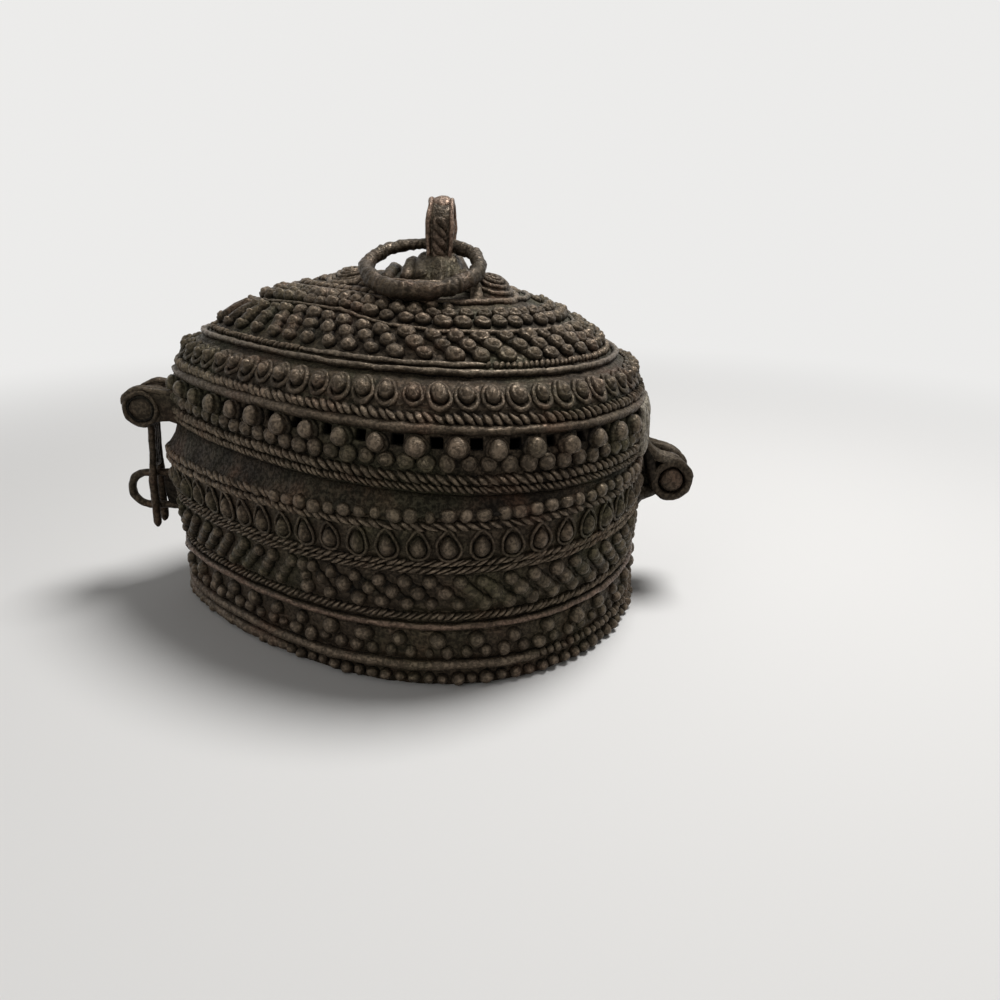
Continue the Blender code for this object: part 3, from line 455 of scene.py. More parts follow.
COIL_PROFILE = (
    (0.0, -0.5), (0.8, -0.45), (1.0, 0.0), (0.96, 0.36), (0.84, 0.62),
    (0.7, 0.7), (0.6, 0.66), (0.5, 0.76), (0.3, 0.96), (0.0, 1.02),
)
BALL_PROFILE = (
    (0.0, -0.5), (0.92, -0.45), (1.0, -0.1), (0.97, 0.18), (0.88, 0.34), (0.78, 0.36),
    (0.72, 0.34), (0.74, 0.5), (0.69, 0.74), (0.55, 0.95), (0.32, 1.08), (0.0, 1.13),
)
WHOLE_BALL = -89.0
BEAD = turned(dome(5), 10)
SMALL_BEAD = turned(dome(4), 8)
ROUND_BEAD = turned(dome(5, square=0.8), 12, 0.9)
STROKE = turned(dome(4, square=0.55), 10, 0.75)
LENS = turned(dome(4, square=0.8), 10, 1.3)
BALL = turned(dome(8, WHOLE_BALL), 14)
BLOCK = turned(dome(8, WHOLE_BALL, 0.5), 18, 0.5)
COIL_BEAD = turned(COIL_PROFILE, 12)
COILED_BALL = turned(BALL_PROFILE, 18)
PAD = turned(dome(8, square=0.4), 48, 0.45)


def wire_mould(path, radius, sides=7):
    """Mould of a closed wire along a path in s and v, as deep in w as it is wide."""
    run = unit(np.roll(path, -1, 0) - np.roll(path, 1, 0))
    side = np.stack([run[:, 1], -run[:, 0]], -1)
    flat = path[:, None, :] + side[:, None, :] * (np.cos(around(sides)) * radius)[None, :, None]
    high = np.broadcast_to(np.sin(around(sides)) * radius, flat.shape[:2])
    points = np.concatenate([flat, high[..., None]], -1).reshape(-1, 3)
    return points, tube_faces(len(path), sides, True)


def drop_path(half_width, half_height, taper, steps=32):
    """Outline of a hanging drop, narrowing toward its top."""
    turns = around(steps)
    narrow = 1.0 - taper * ((1.0 + np.sin(turns)) / 2.0) ** 1.5
    return np.stack([half_width * np.cos(turns) * narrow, half_height * np.sin(turns)], -1)


def stamp(shape, skin, mould, u, v, size, lift=0.0, turn=0.0, full=1.0):
    """Lays copies of a mould on a skin, one at each u and v."""
    points, faces = mould
    u, v = np.broadcast_arrays(np.atleast_1d(u), np.atleast_1d(v))
    size = np.broadcast_to(np.atleast_2d(size), (len(u), 3))
    turn = np.broadcast_to(turn, len(u))[:, None]
    local = points[None] * size[:, None, :]
    ds = local[..., 0] * np.cos(turn) - local[..., 1] * np.sin(turn)
    dv = local[..., 0] * np.sin(turn) + local[..., 1] * np.cos(turn)
    dw = local[..., 2] + lift
    placed = skin.place(u[:, None] + ds / skin.girth(v)[:, None], v[:, None] + dv, dw)
    shifts = np.arange(len(u)) * len(points)
    every = (faces[None] + shifts[:, None, None]).reshape(-1, 4)
    # Rise runs from each copy's base to full: painted shade where it meets the wall, rubbed wear
    # and painted highlight on its top.
    return shape.add(placed, every, np.clip(dw / full, 0.0, 1.0).reshape(-1))


# Hand-laid rows: none of these gives the same bead or stroke twice

def loose(number, size, spread):
    """A size for each copy, none quite like the next."""
    grow = 1.0 + rng.normal(0.0, spread * 0.6, (number, 1))
    return np.array([size]) * grow * (1.0 + rng.normal(0.0, spread * 0.5, (number, 3)))


def wander(number, size, waves=9):
    """Slow irregular drift of hand-laid wax, the same at both ends."""
    turn = around(number)
    total = np.zeros(number)
    for wave in range(1, waves + 1):
        height = rng.normal(0.0, 1.0 / wave ** 0.5)
        total += height * np.sin(wave * 2 * turn + rng.uniform(0.0, tau))
    return total * size / 3.0


def crown_bend(u):
    """How far the crown's rows climb toward the hasp end of the front."""
    marks = (0.0, 0.42, 0.5, 0.56, 0.62, 0.665, 0.73, 0.78, 1.0)
    return np.interp(u, marks, (0.0, 0.0, 2.0, 4.0, 4.8, 4.6, 1.0, 0.0, 0.0))


def shares_between(count, first, low, high):
    """Places of count beads round a skin, those from low to high."""
    share = (np.arange(count) + first) / count
    return share[(share >= low) & (share < high)]


def bead_row(
    shape, skin, v, count, radius, proud, spread=0.12, mould=BEAD,
    first=0.0, low=0.0, high=1.0, tall=1.0, bend=0.0,
):
    """A row of beads round a skin."""
    share = shares_between(count, first, low, high)
    number = len(share)
    u = share + rng.normal(0.0, spread * radius * 0.6, number) / skin.girth(v)
    height = v + wander(number, 0.2) + rng.normal(0.0, spread * radius * 0.5, number)
    turn = rng.normal(0.0, 0.1, number)
    size = loose(number, (radius, radius * tall, proud), spread)
    height = height + bend * crown_bend(share)
    return stamp(shape, skin, mould, u, height, size, turn=turn, full=proud)


def thread(
    shape, skin, v, radius, lift, drift=0.12, sides=10,
    low=0.0, high=1.0, rough=0.07, tone=1.0, bend=0.0,
):
    """A plain wax thread laid round a skin, or round a part of it."""
    number = int(float(skin.girth(v)) * (high - low) / 1.1)
    whole = high - low >= 1.0
    u = low + (high - low) * np.arange(number) / (number if whole else number - 1)
    size = radius * (1.0 + wander(number, rough, 16)[:, None])
    if not whole:
        size[[0, -1]] *= 0.3
        size[[1, -2]] *= 0.8
    middle = v + wander(number, drift) + bend * crown_bend(u)
    turns = around(sides)[None, :]
    height = lift + size * np.sin(turns)
    placed = skin.place(u[:, None], middle[:, None] + size * np.cos(turns), height)
    # Rise runs from the wall to the thread's top: painted shade under it, rubbed wear and painted
    # highlight on top; tone below 1 darkens it all.
    rise = np.clip(height / (lift + radius), 0.0, 1.0) * tone
    return shape.add(placed, tube_faces(number, sides, whole), rise.reshape(-1))


def rope(shape, skin, v, half, proud, pitch, lean, low=0.0, high=1.0):
    """A twisted thread: slanting strokes side by side over a core."""
    girth = float(skin.girth(v))
    share = shares_between(round(girth / pitch), 0.0, low, high)
    number = len(share)
    core = half * 0.75
    # The core's low tone is painted shade between the strokes.
    thread(shape, skin, v, core, proud * 0.42 - core, low=low, high=high, drift=0.0, tone=0.4)
    lean = radians(lean) + rng.normal(0.0, 0.06, number)
    width, length = pitch * np.cos(lean) * 0.56, half / np.cos(lean)
    size = np.stack([width, length, np.full(number, proud)], -1)
    size = size * (1.0 + rng.normal(0.0, 0.06, (number, 3)))
    u = share + rng.normal(0.0, 0.05 * pitch, number) / girth
    return stamp(shape, skin, LENS, u, v + wander(number, 0.15), size, turn=lean, full=proud * 0.8)


def bars(shape, skin, middle, count, first, rise, proud, look, mould, bend=0.0):
    """Short leaning rows of three beads, run together as they were cast.

    look gives each bar's lean, bead radius and how far its beads are fused.
    """
    share = (np.arange(count) + first) / count + rng.normal(0.0, 0.25, count) / skin.girth(middle)
    spot = skin.flat(share, np.full(count, middle))
    slope, bead, fuse = look(spot[:, 0], spot[:, 1])
    slope = slope + rng.normal(0.0, 0.05, count)
    climb = bend * crown_bend(share)
    middle, rise = middle + climb * 0.45, rise + climb * 0.24
    length = rise * 1.3 * np.hypot(1.0, slope)
    size = np.stack([bead * (0.5 + 0.42 * fuse), length, proud * fuse], -1)
    stamp(shape, skin, STROKE, share, middle, size, turn=-np.arctan(slope), full=proud * 1.5)
    for step in (-1.0, 0.0, 1.0):
        u = share + (slope * step * rise + rng.normal(0.0, 0.1, count)) / skin.girth(middle)
        v = middle + step * rise + rng.normal(0.0, 0.1, count)
        size = loose(count, (1.0, 1.0, proud), 0.09) * np.stack([bead, bead, np.ones(count)], -1)
        stamp(shape, skin, mould, u, v, size, full=proud)
    return shape


def sheet(shape, skin, low, high, lift):
    """The bare wall of a band, just off the skin and closed behind."""
    rows, columns = max(3, int((high - low) / 1.0)), 200
    u = (np.arange(columns) / columns)[None, :]
    v = np.linspace(low, high, rows)[:, None]
    front = skin.place(u, v, lift + 0.06 * np.sin(37 * tau * u) * np.sin(v * 1.7))
    back = skin.place(u, v[::-1], -0.4)
    return shape.add(np.concatenate([front, back]), grid_faces(2 * rows, columns, True, True), 0.4)


# Wires and lumps set free in space

def smooth_path(corners, number):
    """A smooth path through the corners, evenly stepped."""
    corners = np.asarray(corners, float)
    ends = np.concatenate([[2 * corners[0] - corners[1]], corners, [2 * corners[-1] - corners[-2]]])
    part = np.linspace(0.0, len(corners) - 1.0, 40 * len(corners))
    index = np.minimum(part.astype(int), len(corners) - 2)
    t = (part - index)[:, None]
    a, b, c, d = (ends[index + step] for step in range(4))
    square, cube = 2 * a - 5 * b + 4 * c - d, 3 * b - a - 3 * c + d
    return stepped(0.5 * (2 * b + (c - a) * t + square * t ** 2 + cube * t ** 3), number)


def upright(pairs, y, number):
    """A smooth path through x and z pairs, all at one y."""
    return smooth_path([(x, y, z) for x, z in pairs], number)


def circle_path(axis, y, radius, number=40, first=0.0, last=360.0):
    """Round an axis at an x and z, or a part of the way round."""
    turns = np.radians(np.linspace(first, last, number, endpoint=last - first < 360.0))
    x, z = axis[0] + radius * np.cos(turns), axis[1] + radius * np.sin(turns)
    return np.stack([x, np.full(number, y), z], -1)


def crossings(path, side, closed=False):
    """Directions across a path, near side, and off it."""
    run = unit(np.roll(path, -1, 0) - np.roll(path, 1, 0) if closed else np.gradient(path, axis=0))
    axis = np.array(side, float)
    across = unit(axis - run * (run @ axis)[:, None])
    return across, np.cross(run, across)


def sweep(
    shape, path, radius, side=ALONG_Y, sides=12, closed=False,
    flat=1.0, rise=0.6, uneven=0.04, blunt=True,
):
    """Wire along a path in space.  flat is its depth across side, over its width."""
    path = np.asarray(path, float)
    number = len(path)
    across, lift = crossings(path, side, closed)
    size = np.broadcast_to(radius, number) * (1.0 + wander(number, uneven, 12))
    if not closed and blunt:
        size[[0, -1]] *= 0.4
        size[[1, -2]] *= 0.82
    turns = around(sides, 0.5)[None, :, None]
    ring = across[:, None, :] * np.cos(turns) + lift[:, None, :] * (np.sin(turns) * flat)
    points = (path[:, None, :] + ring * size[:, None, None]).reshape(-1, 3)
    return shape.add(moved(shape.matrix, points), tube_faces(number, sides, closed), rise)


def twist(shape, path, radius, pitch, side, strands=3):
    """Strands wound round one path."""
    across, lift = crossings(path, side)
    for strand in range(strands):
        turn = ((distance(path) / pitch + strand / strands) * tau)[:, None]
        wound = path + (across * np.cos(turn) + lift * np.sin(turn)) * radius * 0.5
        sweep(shape, wound, radius * 0.55, side, 7, rise=0.7)


def slab(shape, outline, low, high, edge=0.55, rise=0.35):
    """Flat piece of wax upright in x and z, from low to high in y, its rim rounded."""
    spokes = unit(outline - outline.mean(0))
    points = []
    for inset, y in (
        (1.0, low), (0.45, low + 0.12 * edge), (0.12, low + 0.45 * edge), (0.0, low + edge),
        (0.0, high - edge), (0.12, high - 0.45 * edge), (0.45, high - 0.12 * edge), (1.0, high),
    ):
        flat = outline - spokes * inset * edge
        points.append(np.stack([flat[:, 0], np.full(len(flat), y), flat[:, 1]], -1))
    shape.add(np.concatenate(points), tube_faces(8, len(outline), False), rise)


def blob(shape, center, size, mould=BALL, rise=0.6):
    """One lump of wax."""
    points, faces = mould
    shape.add(moved(shape.matrix, points * np.array(size) + np.array(center)), faces, rise)


# The tub.  A row's place is v up the wall, unless it ends in Z

FOOT_BEADS_V, FOOT_BEADS = 1.65, 106
FOOT_FUSED = (0.47, 0.655)
FOOT_RIDGE_V, FOOT_RIDGE_BEADS = 4.5, 176
FOOT_BAND = (5.9, 12.2)
LARGE_BALLS_V, LARGE_BALLS = 10.5, 41
SMALL_BALLS_V, SMALL_BALLS = 7.6, 82
FOOT_RING_Z = 13.6
FOOT_ROPE_V = 15.9
PANEL_Z, PANEL_BARS = 21.1, 62
DOUBLE_ROPE_V = (27.85, 26.45)
TUB_DROPS_V, TUB_DROPS = 31.75, 53
SHOULDER_ROPE_V = 35.9
SHOULDER_BEADS_V, SHOULDER_BEADS = 37.8, 95


def tub_skin():
    """Wall, shoulder, neck, inside and floor of the tub."""
    columns, climbs = 252, 60
    u = np.arange(columns) / columns
    rows = [TUB.place(u, v, 0.0) for v in np.linspace(0.0, TUB.up(SHOULDER_Z), climbs)]
    rise = [0.45] * climbs
    angles = np.interp(u, SHARES, ANGLES)

    def ring(out, height, seated):
        x, y = plan(BELT_HALF_LENGTH + out, BELT_HALF_DEPTH + out, angles)
        points = np.stack([x, y, np.full(columns, height)], -1)
        return moved(SEAT, points) if seated else points

    shoulder_low, shoulder_high = rows[-1], ring(SEAT_OUT, SEAT_Z, True)
    outward = ring(1.0, 0.0, False) - ring(0.0, 0.0, False)
    ripple = 1.0 + 0.25 * np.sin(61 * tau * u)[:, None]
    for share, swell in SHOULDER_SWELL:
        slope = shoulder_low + (shoulder_high - shoulder_low) * share
        rows.append(slope + outward * swell * ripple)
        rise.append(0.25)
    for out, height, seated in (
        (NECK_OUT, SEAT_Z, True),
        (NECK_OUT - NECK_TAPER, SEAT_Z + NECK_HEIGHT, True),
        (NECK_OUT - NECK_WALL, SEAT_Z + NECK_HEIGHT, True),
        (NECK_OUT - NECK_WALL, SEAT_Z, True),
        (TUB_STATIONS[2][1] - TUB_WALL, SHOULDER_Z - NECK_HEIGHT, False),
        (TUB_STATIONS[1][1] - TUB_WALL, TUB_STATIONS[1][0], False),
        (TUB_STATIONS[0][1] - TUB_WALL, TUB_FLOOR, False),
    ):
        rows.append(ring(out, height, seated))
        rise.append(0.3)
    faces = tube_faces(len(rows), columns, False)
    return Shape("tub").add(np.concatenate(rows), faces, np.repeat(rise, columns))


def add_tub():
    tub_skin().build("tub_wall", "body_shell")
    feet = Shape("tub")
    fused_from, fused_to = FOOT_FUSED
    for low, high in ((fused_to, 1.0), (0.0, fused_from)):
        bead_row(feet, TUB, FOOT_BEADS_V, FOOT_BEADS, 1.48, 1.8, tall=0.95, low=low, high=high)
    rail = (fused_from - 0.005, fused_to + 0.005)
    thread(feet, TUB, FOOT_BEADS_V + 0.1, 1.3, 0.3, 0.15, low=rail[0], high=rail[1], rough=0.1)
    row = (FOOT_BEADS_V - 0.05, FOOT_BEADS, 1.45, 1.75, 0.1)
    bead_row(feet, TUB, *row, tall=0.9, low=fused_from, high=fused_to)
    feet.build("foot_bead_row", "body_foot_beads")
    ridge = thread(Shape("tub"), TUB, FOOT_RIDGE_V, 1.15, 0.35, 0.3, high=0.84, rough=0.12)
    row = (FOOT_RIDGE_V + 0.25, FOOT_RIDGE_BEADS, 1.0, 1.5)
    bead_row(ridge, TUB, *row, mould=SMALL_BEAD, low=0.83, tall=1.15)
    ridge.build("foot_ridge_thread", "body_foot_ridge")
    balls = sheet(Shape("tub"), TUB, *FOOT_BAND, 0.15)
    bead_row(balls, TUB, LARGE_BALLS_V, LARGE_BALLS, 1.95, 2.0, first=0.6)
    bead_row(balls, TUB, SMALL_BALLS_V, SMALL_BALLS, 1.55, 1.5, 0.18, first=0.7)
    balls.build("foot_ball_rows", "body_foot_balls")
    ring = thread(Shape("tub"), TUB, TUB.up(FOOT_RING_Z), 0.85, 0.6, 0.3, tone=0.9)
    ring.build("foot_ring_thread", "body_foot_ring", RUDDY, "worn_brass")
    foot_rope = rope(Shape("tub"), TUB, FOOT_ROPE_V, 0.95, 1.15, 1.5, -56.0)
    foot_rope.build("foot_rope_strokes", "body_foot_rope")
    middle = TUB.up(PANEL_Z)
    panel = sheet(Shape("tub"), TUB, middle - 4.0, middle + 4.2, 0.1)
    bars(panel, TUB, middle + 0.15, PANEL_BARS, 0.1, 2.5, 1.75, panel_look, BEAD)
    panel.build("bead_panel", "body_bead_panel", GREEN, "green_patina")
    double = rope(Shape("tub"), TUB, DOUBLE_ROPE_V[0], 0.78, 1.05, 1.75, -64.0)
    rope(double, TUB, DOUBLE_ROPE_V[1], 0.85, 1.15, 1.85, -66.0)
    double.build("double_rope_strokes", "body_double_rope")
    add_tub_drops()
    upper = rope(Shape("tub"), TUB, SHOULDER_ROPE_V, 1.0, 1.35, 2.1, 58.0)
    upper.build("shoulder_rope_strokes", "body_shoulder_rope")
    beads = Shape("tub")
    for low, high in ((0.655, 1.0), (0.0, 0.5)):
        row = (SHOULDER_BEADS_V, SHOULDER_BEADS, 1.62, 1.6, 0.16, ROUND_BEAD)
        bead_row(beads, TUB, *row, low=low, high=high, tall=0.78)
    rope(beads, TUB, SHOULDER_BEADS_V + 0.1, 0.9, 1.3, 2.3, 62.0, 0.49, 0.66)
    beads.build("shoulder_bead_row", "body_shoulder_beads")


def panel_look(x, y):
    """The panel's bars: fused toward both ends of the front, loose between."""
    slope = np.interp(x, (-34.0, -21.0, -11.0, 20.0), (1.0, 0.8, -1.15, -1.0))
    bead = np.interp(x, (-30.0, -10.0, 8.0, 20.0), (1.45, 1.62, 1.62, 1.75))
    fuse = np.interp(x, (-26.0, -12.0, 8.0, 18.0), (0.9, 0.4, 0.4, 0.8))
    front = y < 0.0
    return np.where(front, slope, -1.1), np.where(front, bead, 1.55), np.where(front, fuse, 0.7)


def drop_places(skin, middle, count, first, slide, spread, tip):
    """u, size and tip of each drop in a row."""
    u = (np.arange(count) + first) / count + rng.normal(0.0, slide, count) / skin.girth(middle)
    return u, 1.0 + rng.normal(0.0, spread, (count, 1)), rng.normal(0.0, tip, count)


def add_tub_drops():
    """Teardrops, each with a ridge down it and a wire round it."""
    middle = TUB_DROPS_V
    shape = sheet(Shape("tub"), TUB, middle - 3.3, middle + 3.3, 0.05)
    u, grow, tip = drop_places(TUB, middle, TUB_DROPS, 0.3, 0.12, 0.035, 0.03)
    wire = wire_mould(drop_path(2.6, 3.15, 0.5), 0.35)
    stamp(shape, TUB, wire, u, middle, np.ones((1, 3)) * grow, lift=0.5, turn=tip, full=1.15)
    points, faces = turned(dome(6, square=0.8), 16)
    narrow = 1.0 - 0.48 * ((1.0 + points[:, 1]) / 2.0) ** 1.5
    keel = points[:, 2] * (1.0 - 0.3 * np.abs(points[:, 0]) ** 0.8)
    core = np.stack([points[:, 0] * narrow, points[:, 1], keel], -1), faces
    size = np.array([[2.05, 2.35, 2.0]]) * grow
    stamp(shape, TUB, core, u, middle - 0.35, size, turn=tip, full=2.0)
    shape.build("tub_drop_row", "body_drop_band", GREEN, "green_patina")


# The lid

RIM_ROPE_Z = 40.6
UPPER_ROPE_Z = 42.7
SMALL_BEADS_Z, SMALL_BEADS = 45.05, 82
OPENWORK_Z, OPENWORK_COUNT = 48.1, 42
OPENWORK_START = -0.25
BELT_Z = 51.25
BELT_ROPE_Z = 53.7
LID_DROP_Z, LID_DROPS = 56.7, 60
PLATE_HALF = 19.5

# Grid of the lid's wall: columns to a post, and which of its cells are windows
POST_COLUMNS = 6
WINDOW_COLUMNS = (2, 3)
WINDOW_ROWS = (8, 9, 10)
WINDOW_LOW = -0.3
WINDOW_HIGH = 2.1

# Rows of the crown, by their share of the step's plan
STEP_ROPE_SHARE = 0.952
BARS_SHARE, BARS = 0.86, 46
LINE_SHARE = 0.78
LOW_BEADS_SHARE, HIGH_BEADS_SHARE, CROWN_BEADS = 0.72, 0.662, 51
SMALL_CROWN_SHARE, SMALL_CROWN_BEADS = 0.6, 48
UPPER_LINE_SHARE = 0.56
TOP_ROPE_SHARES = (0.5, 0.42)
TOP_LINE_SHARE = 0.34

# Bosses: x, y, half length, half depth and rise
SMALL_BOSS = (-12.6, -5.5, 4.6, 4.2, 2.2)
LARGE_BOSS = (18.6, -8.4, 5.2, 6.8, 3.6)
BOSS_COILS = (0.84, 0.65, 0.46, 0.27)


def lid_skin():
    """Both faces of the lid, joined at the rim and round the windows."""
    columns = OPENWORK_COUNT * POST_COLUMNS
    u = (np.arange(columns) + OPENWORK_START * POST_COLUMNS) / columns
    low, high = LID.up(OPENWORK_Z + WINDOW_LOW), LID.up(OPENWORK_Z + WINDOW_HIGH)
    lower, upper = np.linspace(0.0, low, 9), np.linspace(high, LID.along[-1], 60)
    v = np.concatenate([lower, np.linspace(low, high, 4)[1:], upper[1:]])[:, None]
    outer, inner = LID.place(u, v, 0.0), LID.place(u, v, -LID_WALL)
    faces = grid_faces(len(v), columns, False, True)
    row, column = np.divmod(np.arange(len(faces)), columns)
    window = np.isin(row, WINDOW_ROWS) & np.isin(column % POST_COLUMNS, WINDOW_COLUMNS)
    faces = np.concatenate([faces[~window], cap_faces((len(v) - 1) * columns, columns, True)])
    edges = np.concatenate([faces[:, [side, (side + 1) % 4]] for side in range(4)]).tolist()
    known = {tuple(edge) for edge in edges}
    here, ahead = np.array([edge for edge in edges if tuple(edge[::-1]) not in known]).T
    second = len(v) * columns
    walls = np.stack([ahead, here, here + second, ahead + second], -1)
    points = np.concatenate([outer.reshape(-1, 3), inner.reshape(-1, 3)])
    faces = np.concatenate([faces, faces[:, ::-1] + second, walls])
    # The inner face has rise 0, the darkest: painted shade inside the lid and down the sides of its
    # windows.
    return Shape("lid").add(points, faces, np.repeat((0.32, 0.0), second))


def add_lid():
    wall = lid_skin()
    edge = PLATE_HALF / float(LID.girth(LID.up(OPENWORK_Z)))
    ball = (LID.up(OPENWORK_Z) + 0.1, OPENWORK_COUNT, 2.55, 2.3, 0.06, COILED_BALL)
    bead_row(wall, LID, *ball, OPENWORK_START, edge, 1.0 - edge, 0.9)
    wall.build("lid_wall", "lid_shell", GREEN, "green_patina")
    rim = rope(Shape("lid"), LID, LID.up(RIM_ROPE_Z) - 0.15, 0.85, 1.15, 1.35, 52.0)
    rim.build("rim_rope_strokes", "lid_rim_rope")
    upper = rope(Shape("lid"), LID, LID.up(UPPER_ROPE_Z) - 0.35, 1.15, 1.45, 1.85, 50.0)
    upper.build("upper_rope_strokes", "lid_upper_rope")
    row = (LID.up(SMALL_BEADS_Z) + 0.2, SMALL_BEADS, 1.8, 1.75, 0.1, COIL_BEAD)
    small = bead_row(Shape("lid"), LID, *row, 0.5, edge, 1.0 - edge)
    small.build("small_bead_row", "lid_small_beads", GREEN, "green_patina")
    belt = thread(Shape("lid"), LID, LID.up(BELT_Z), 1.2, 0.7, 0.15, sides=14, rough=0.08)
    belt.build("belt_thread", "lid_belt", BELT, "worn_brass")
    belt_rope = rope(Shape("lid"), LID, LID.up(BELT_ROPE_Z) - 0.4, 1.25, 1.45, 1.75, 45.0)
    belt_rope.build("belt_rope_strokes", "lid_belt_rope")
    add_lid_drops()
    add_crown()


def add_lid_drops():
    """Drops under the step: a coiled bead in each loop of wire."""
    low, high = LID.up(LID_DROP_Z - 1.75), LID.up(LID_DROP_Z + 2.4)
    shape = sheet(Shape("lid"), LID, low, high, 0.05)
    middle = (low + high) / 2.0 - 0.3
    u, grow, tip = drop_places(LID, middle, LID_DROPS, 0.2, 0.08, 0.05, 0.05)
    wire = wire_mould(drop_path(2.05, 2.4, 0.25), 0.5)
    stamp(shape, LID, wire, u, middle - 0.2, np.ones((1, 3)) * grow, lift=0.3, turn=tip, full=1.15)
    size = np.array([[1.6, 1.85, 2.2]]) * grow
    stamp(shape, LID, COIL_BEAD, u, middle + 0.1, size, turn=tip, full=2.2)
    shape.build("lid_drop_row", "lid_drop_band")


def crown_look(x, y):
    """The crown's bars: leaning most on the right of the front, fused on its left."""
    slope = np.interp(x, (-43.0, -31.0, -15.0, 20.0, 30.0), (0.3, -0.25, -0.55, -0.62, -0.3))
    bead = np.interp(x, (-43.0, -33.0, -20.0), (1.3, 1.5, 1.8))
    fuse = np.interp(x, (-40.0, -30.0, -18.0), (1.0, 0.85, 0.5))
    return np.where(y < 0.0, slope, -0.5), bead, fuse


def add_crown():
    edge = crown_up(STEP_ROPE_SHARE)
    step = thread(Shape("lid"), LID, LID.up(STEP_Z) + 0.45, 0.8, 0.6, 0.1)
    thread(step, LID, edge, 0.7, 0.25, 0.1, low=0.655, high=0.81, rough=0.15)
    step.build("step_threads", "lid_step_ring", WORN_SHEENED, "worn_brass")
    step_rope = Shape("lid")
    for low, high in ((0.0, 0.66), (0.805, 1.0)):
        rope(step_rope, LID, edge, 0.85, 1.0, 1.25, -35.0, low, high)
    step_rope.build("step_rope_strokes", "lid_step_rope")
    line = thread(Shape("lid"), LID, crown_up(LINE_SHARE), 0.5, 0.3, 0.25, bend=1.0)
    bars(line, LID, crown_up(BARS_SHARE), BARS, 0.75, 2.8, 2.0, crown_look, COIL_BEAD, 1.0)
    line.build("crown_bead_bars", "crown_line_ring")
    top = Shape("lid", SEAT)
    row = (crown_up(LOW_BEADS_SHARE), CROWN_BEADS, 1.85, 1.9, 0.13, COIL_BEAD)
    bead_row(top, LID, *row, tall=0.9, bend=0.8)
    row = (crown_up(HIGH_BEADS_SHARE), CROWN_BEADS, 1.7, 1.8, 0.15, COIL_BEAD)
    bead_row(top, LID, *row, first=0.5, tall=0.95, bend=0.65)
    row = (crown_up(SMALL_CROWN_SHARE), SMALL_CROWN_BEADS, 1.45, 1.1, 0.2, BEAD)
    for low, high, bend in ((0.5, 0.8, 0.4), (0.0, 0.46, 0.0)):
        bead_row(top, LID, *row, first=0.3, low=low, high=high, bend=bend)
    thread(top, LID, crown_up(UPPER_LINE_SHARE), 0.65, 0.3, 0.3, bend=0.1)
    outer, inner = (crown_up(share) for share in TOP_ROPE_SHARES)
    rope(top, LID, outer, 1.3, 0.9, 2.3, 30.0, 0.0, 0.47)
    rope(top, LID, inner, 1.2, 0.8, 2.2, -30.0)
    thread(top, LID, crown_up(TOP_LINE_SHARE), 0.6, 0.3, 0.3)
    rope(top, LID, outer, 1.5, 0.9, 2.3, -25.0, 0.5, 0.72)
    add_boss(top, *SMALL_BOSS)
    top.build("crown_top_rows", "crown_top_ring")
    boss = Shape("lid", SEAT)
    add_boss(boss, *LARGE_BOSS, (-80.0, 80.0))
    boss.build("crown_boss_coil", "crown_boss")


def crown_height(x, y):
    """Height of the crown over a point, in the lid's own frame."""
    edge_x, edge_y = plan(CROWN_HALF_LENGTH, CROWN_HALF_DEPTH, np.linspace(0.0, tau, 721))
    bearings = np.unwrap(np.arctan2(edge_y, edge_x))
    reach = np.interp(np.mod(np.arctan2(y, x), tau), bearings, np.hypot(edge_x, edge_y))
    return crown_z(np.hypot(x, y) / reach)


def add_boss(shape, x, y, half_length, half_depth, rise, rim=(0.0, 360.0)):
    """Boss on the crown: wires coiled over a low dome, and a rim round it."""
    rings, sides = 14, 40

    def over(part, angle, up):
        px, py = x + half_length * part * np.cos(angle), y + half_depth * part * np.sin(angle)
        z = crown_height(px, py) + rise * 0.8 * (1.0 - part ** 2.8) + up
        return np.stack([px, py, z + 0.0 * angle], -1)

    points = over(np.linspace(1.0, 0.0, rings)[:-1, None], around(sides)[None, :], 0.0)
    rows = np.concatenate([(points[0] - (0.0, 0.0, 0.8))[None], points])
    shape.add(moved(shape.matrix, rows.reshape(-1, 3)), tube_faces(rings, sides, False), 0.3)
    wire = 0.095 * half_length
    for part in BOSS_COILS:
        coil = over(part, around(56), 0.1)
        sweep(shape, coil, wire, ALONG_Z, 9, True, rise=0.75, uneven=0.08)
    blob(shape, over(0.0, np.zeros(1), 0.1)[0], (0.13 * half_length,) * 3, rise=0.8)
    whole = rim[1] - rim[0] >= 360.0
    arc = np.radians(np.linspace(rim[0], rim[1], 48, endpoint=not whole))
    sweep(shape, over(1.05, arc, 0.5), 0.85, ALONG_Z, 10, whole, rise=0.95)


# Hinge: the lid's wires round the pin, and the tub's tongue between them

HINGE_AXIS = (65.4, 30.2)
HINGE_PIN_RADIUS = 2.85
HINGE_PIN_HALF = 7.4
STRAP_MIDDLE = 4.8
STRAP_HALF = 2.05
STRAP_ROWS = (2.95, 3.9, 4.85, 5.8, 6.7)
STRAP_ARM = (
    (57.8, 41.2), (59.3, 38.3), (61.6, 36.3), (64.2, 35.4),
    (67.2, 34.1), (69.3, 32.0), (69.6, 29.6),
)
STRAP_LEG = ((58.6, 39.0), (59.8, 35.2), (60.5, 32.2), (61.4, 29.0))
ARM_BEND_X = 64.0
TONGUE = ((56.6, 24.6), (59.6, 25.2), (62.0, 25.8), (64.4, 26.4), (66.4, 26.7))
TONGUE_WEB = ((56.6, 30.6), (59.4, 30.0), (61.8, 29.6))
PLATE_LOW_Z = 39.9
PLATE_HIGH_Z = 50.2


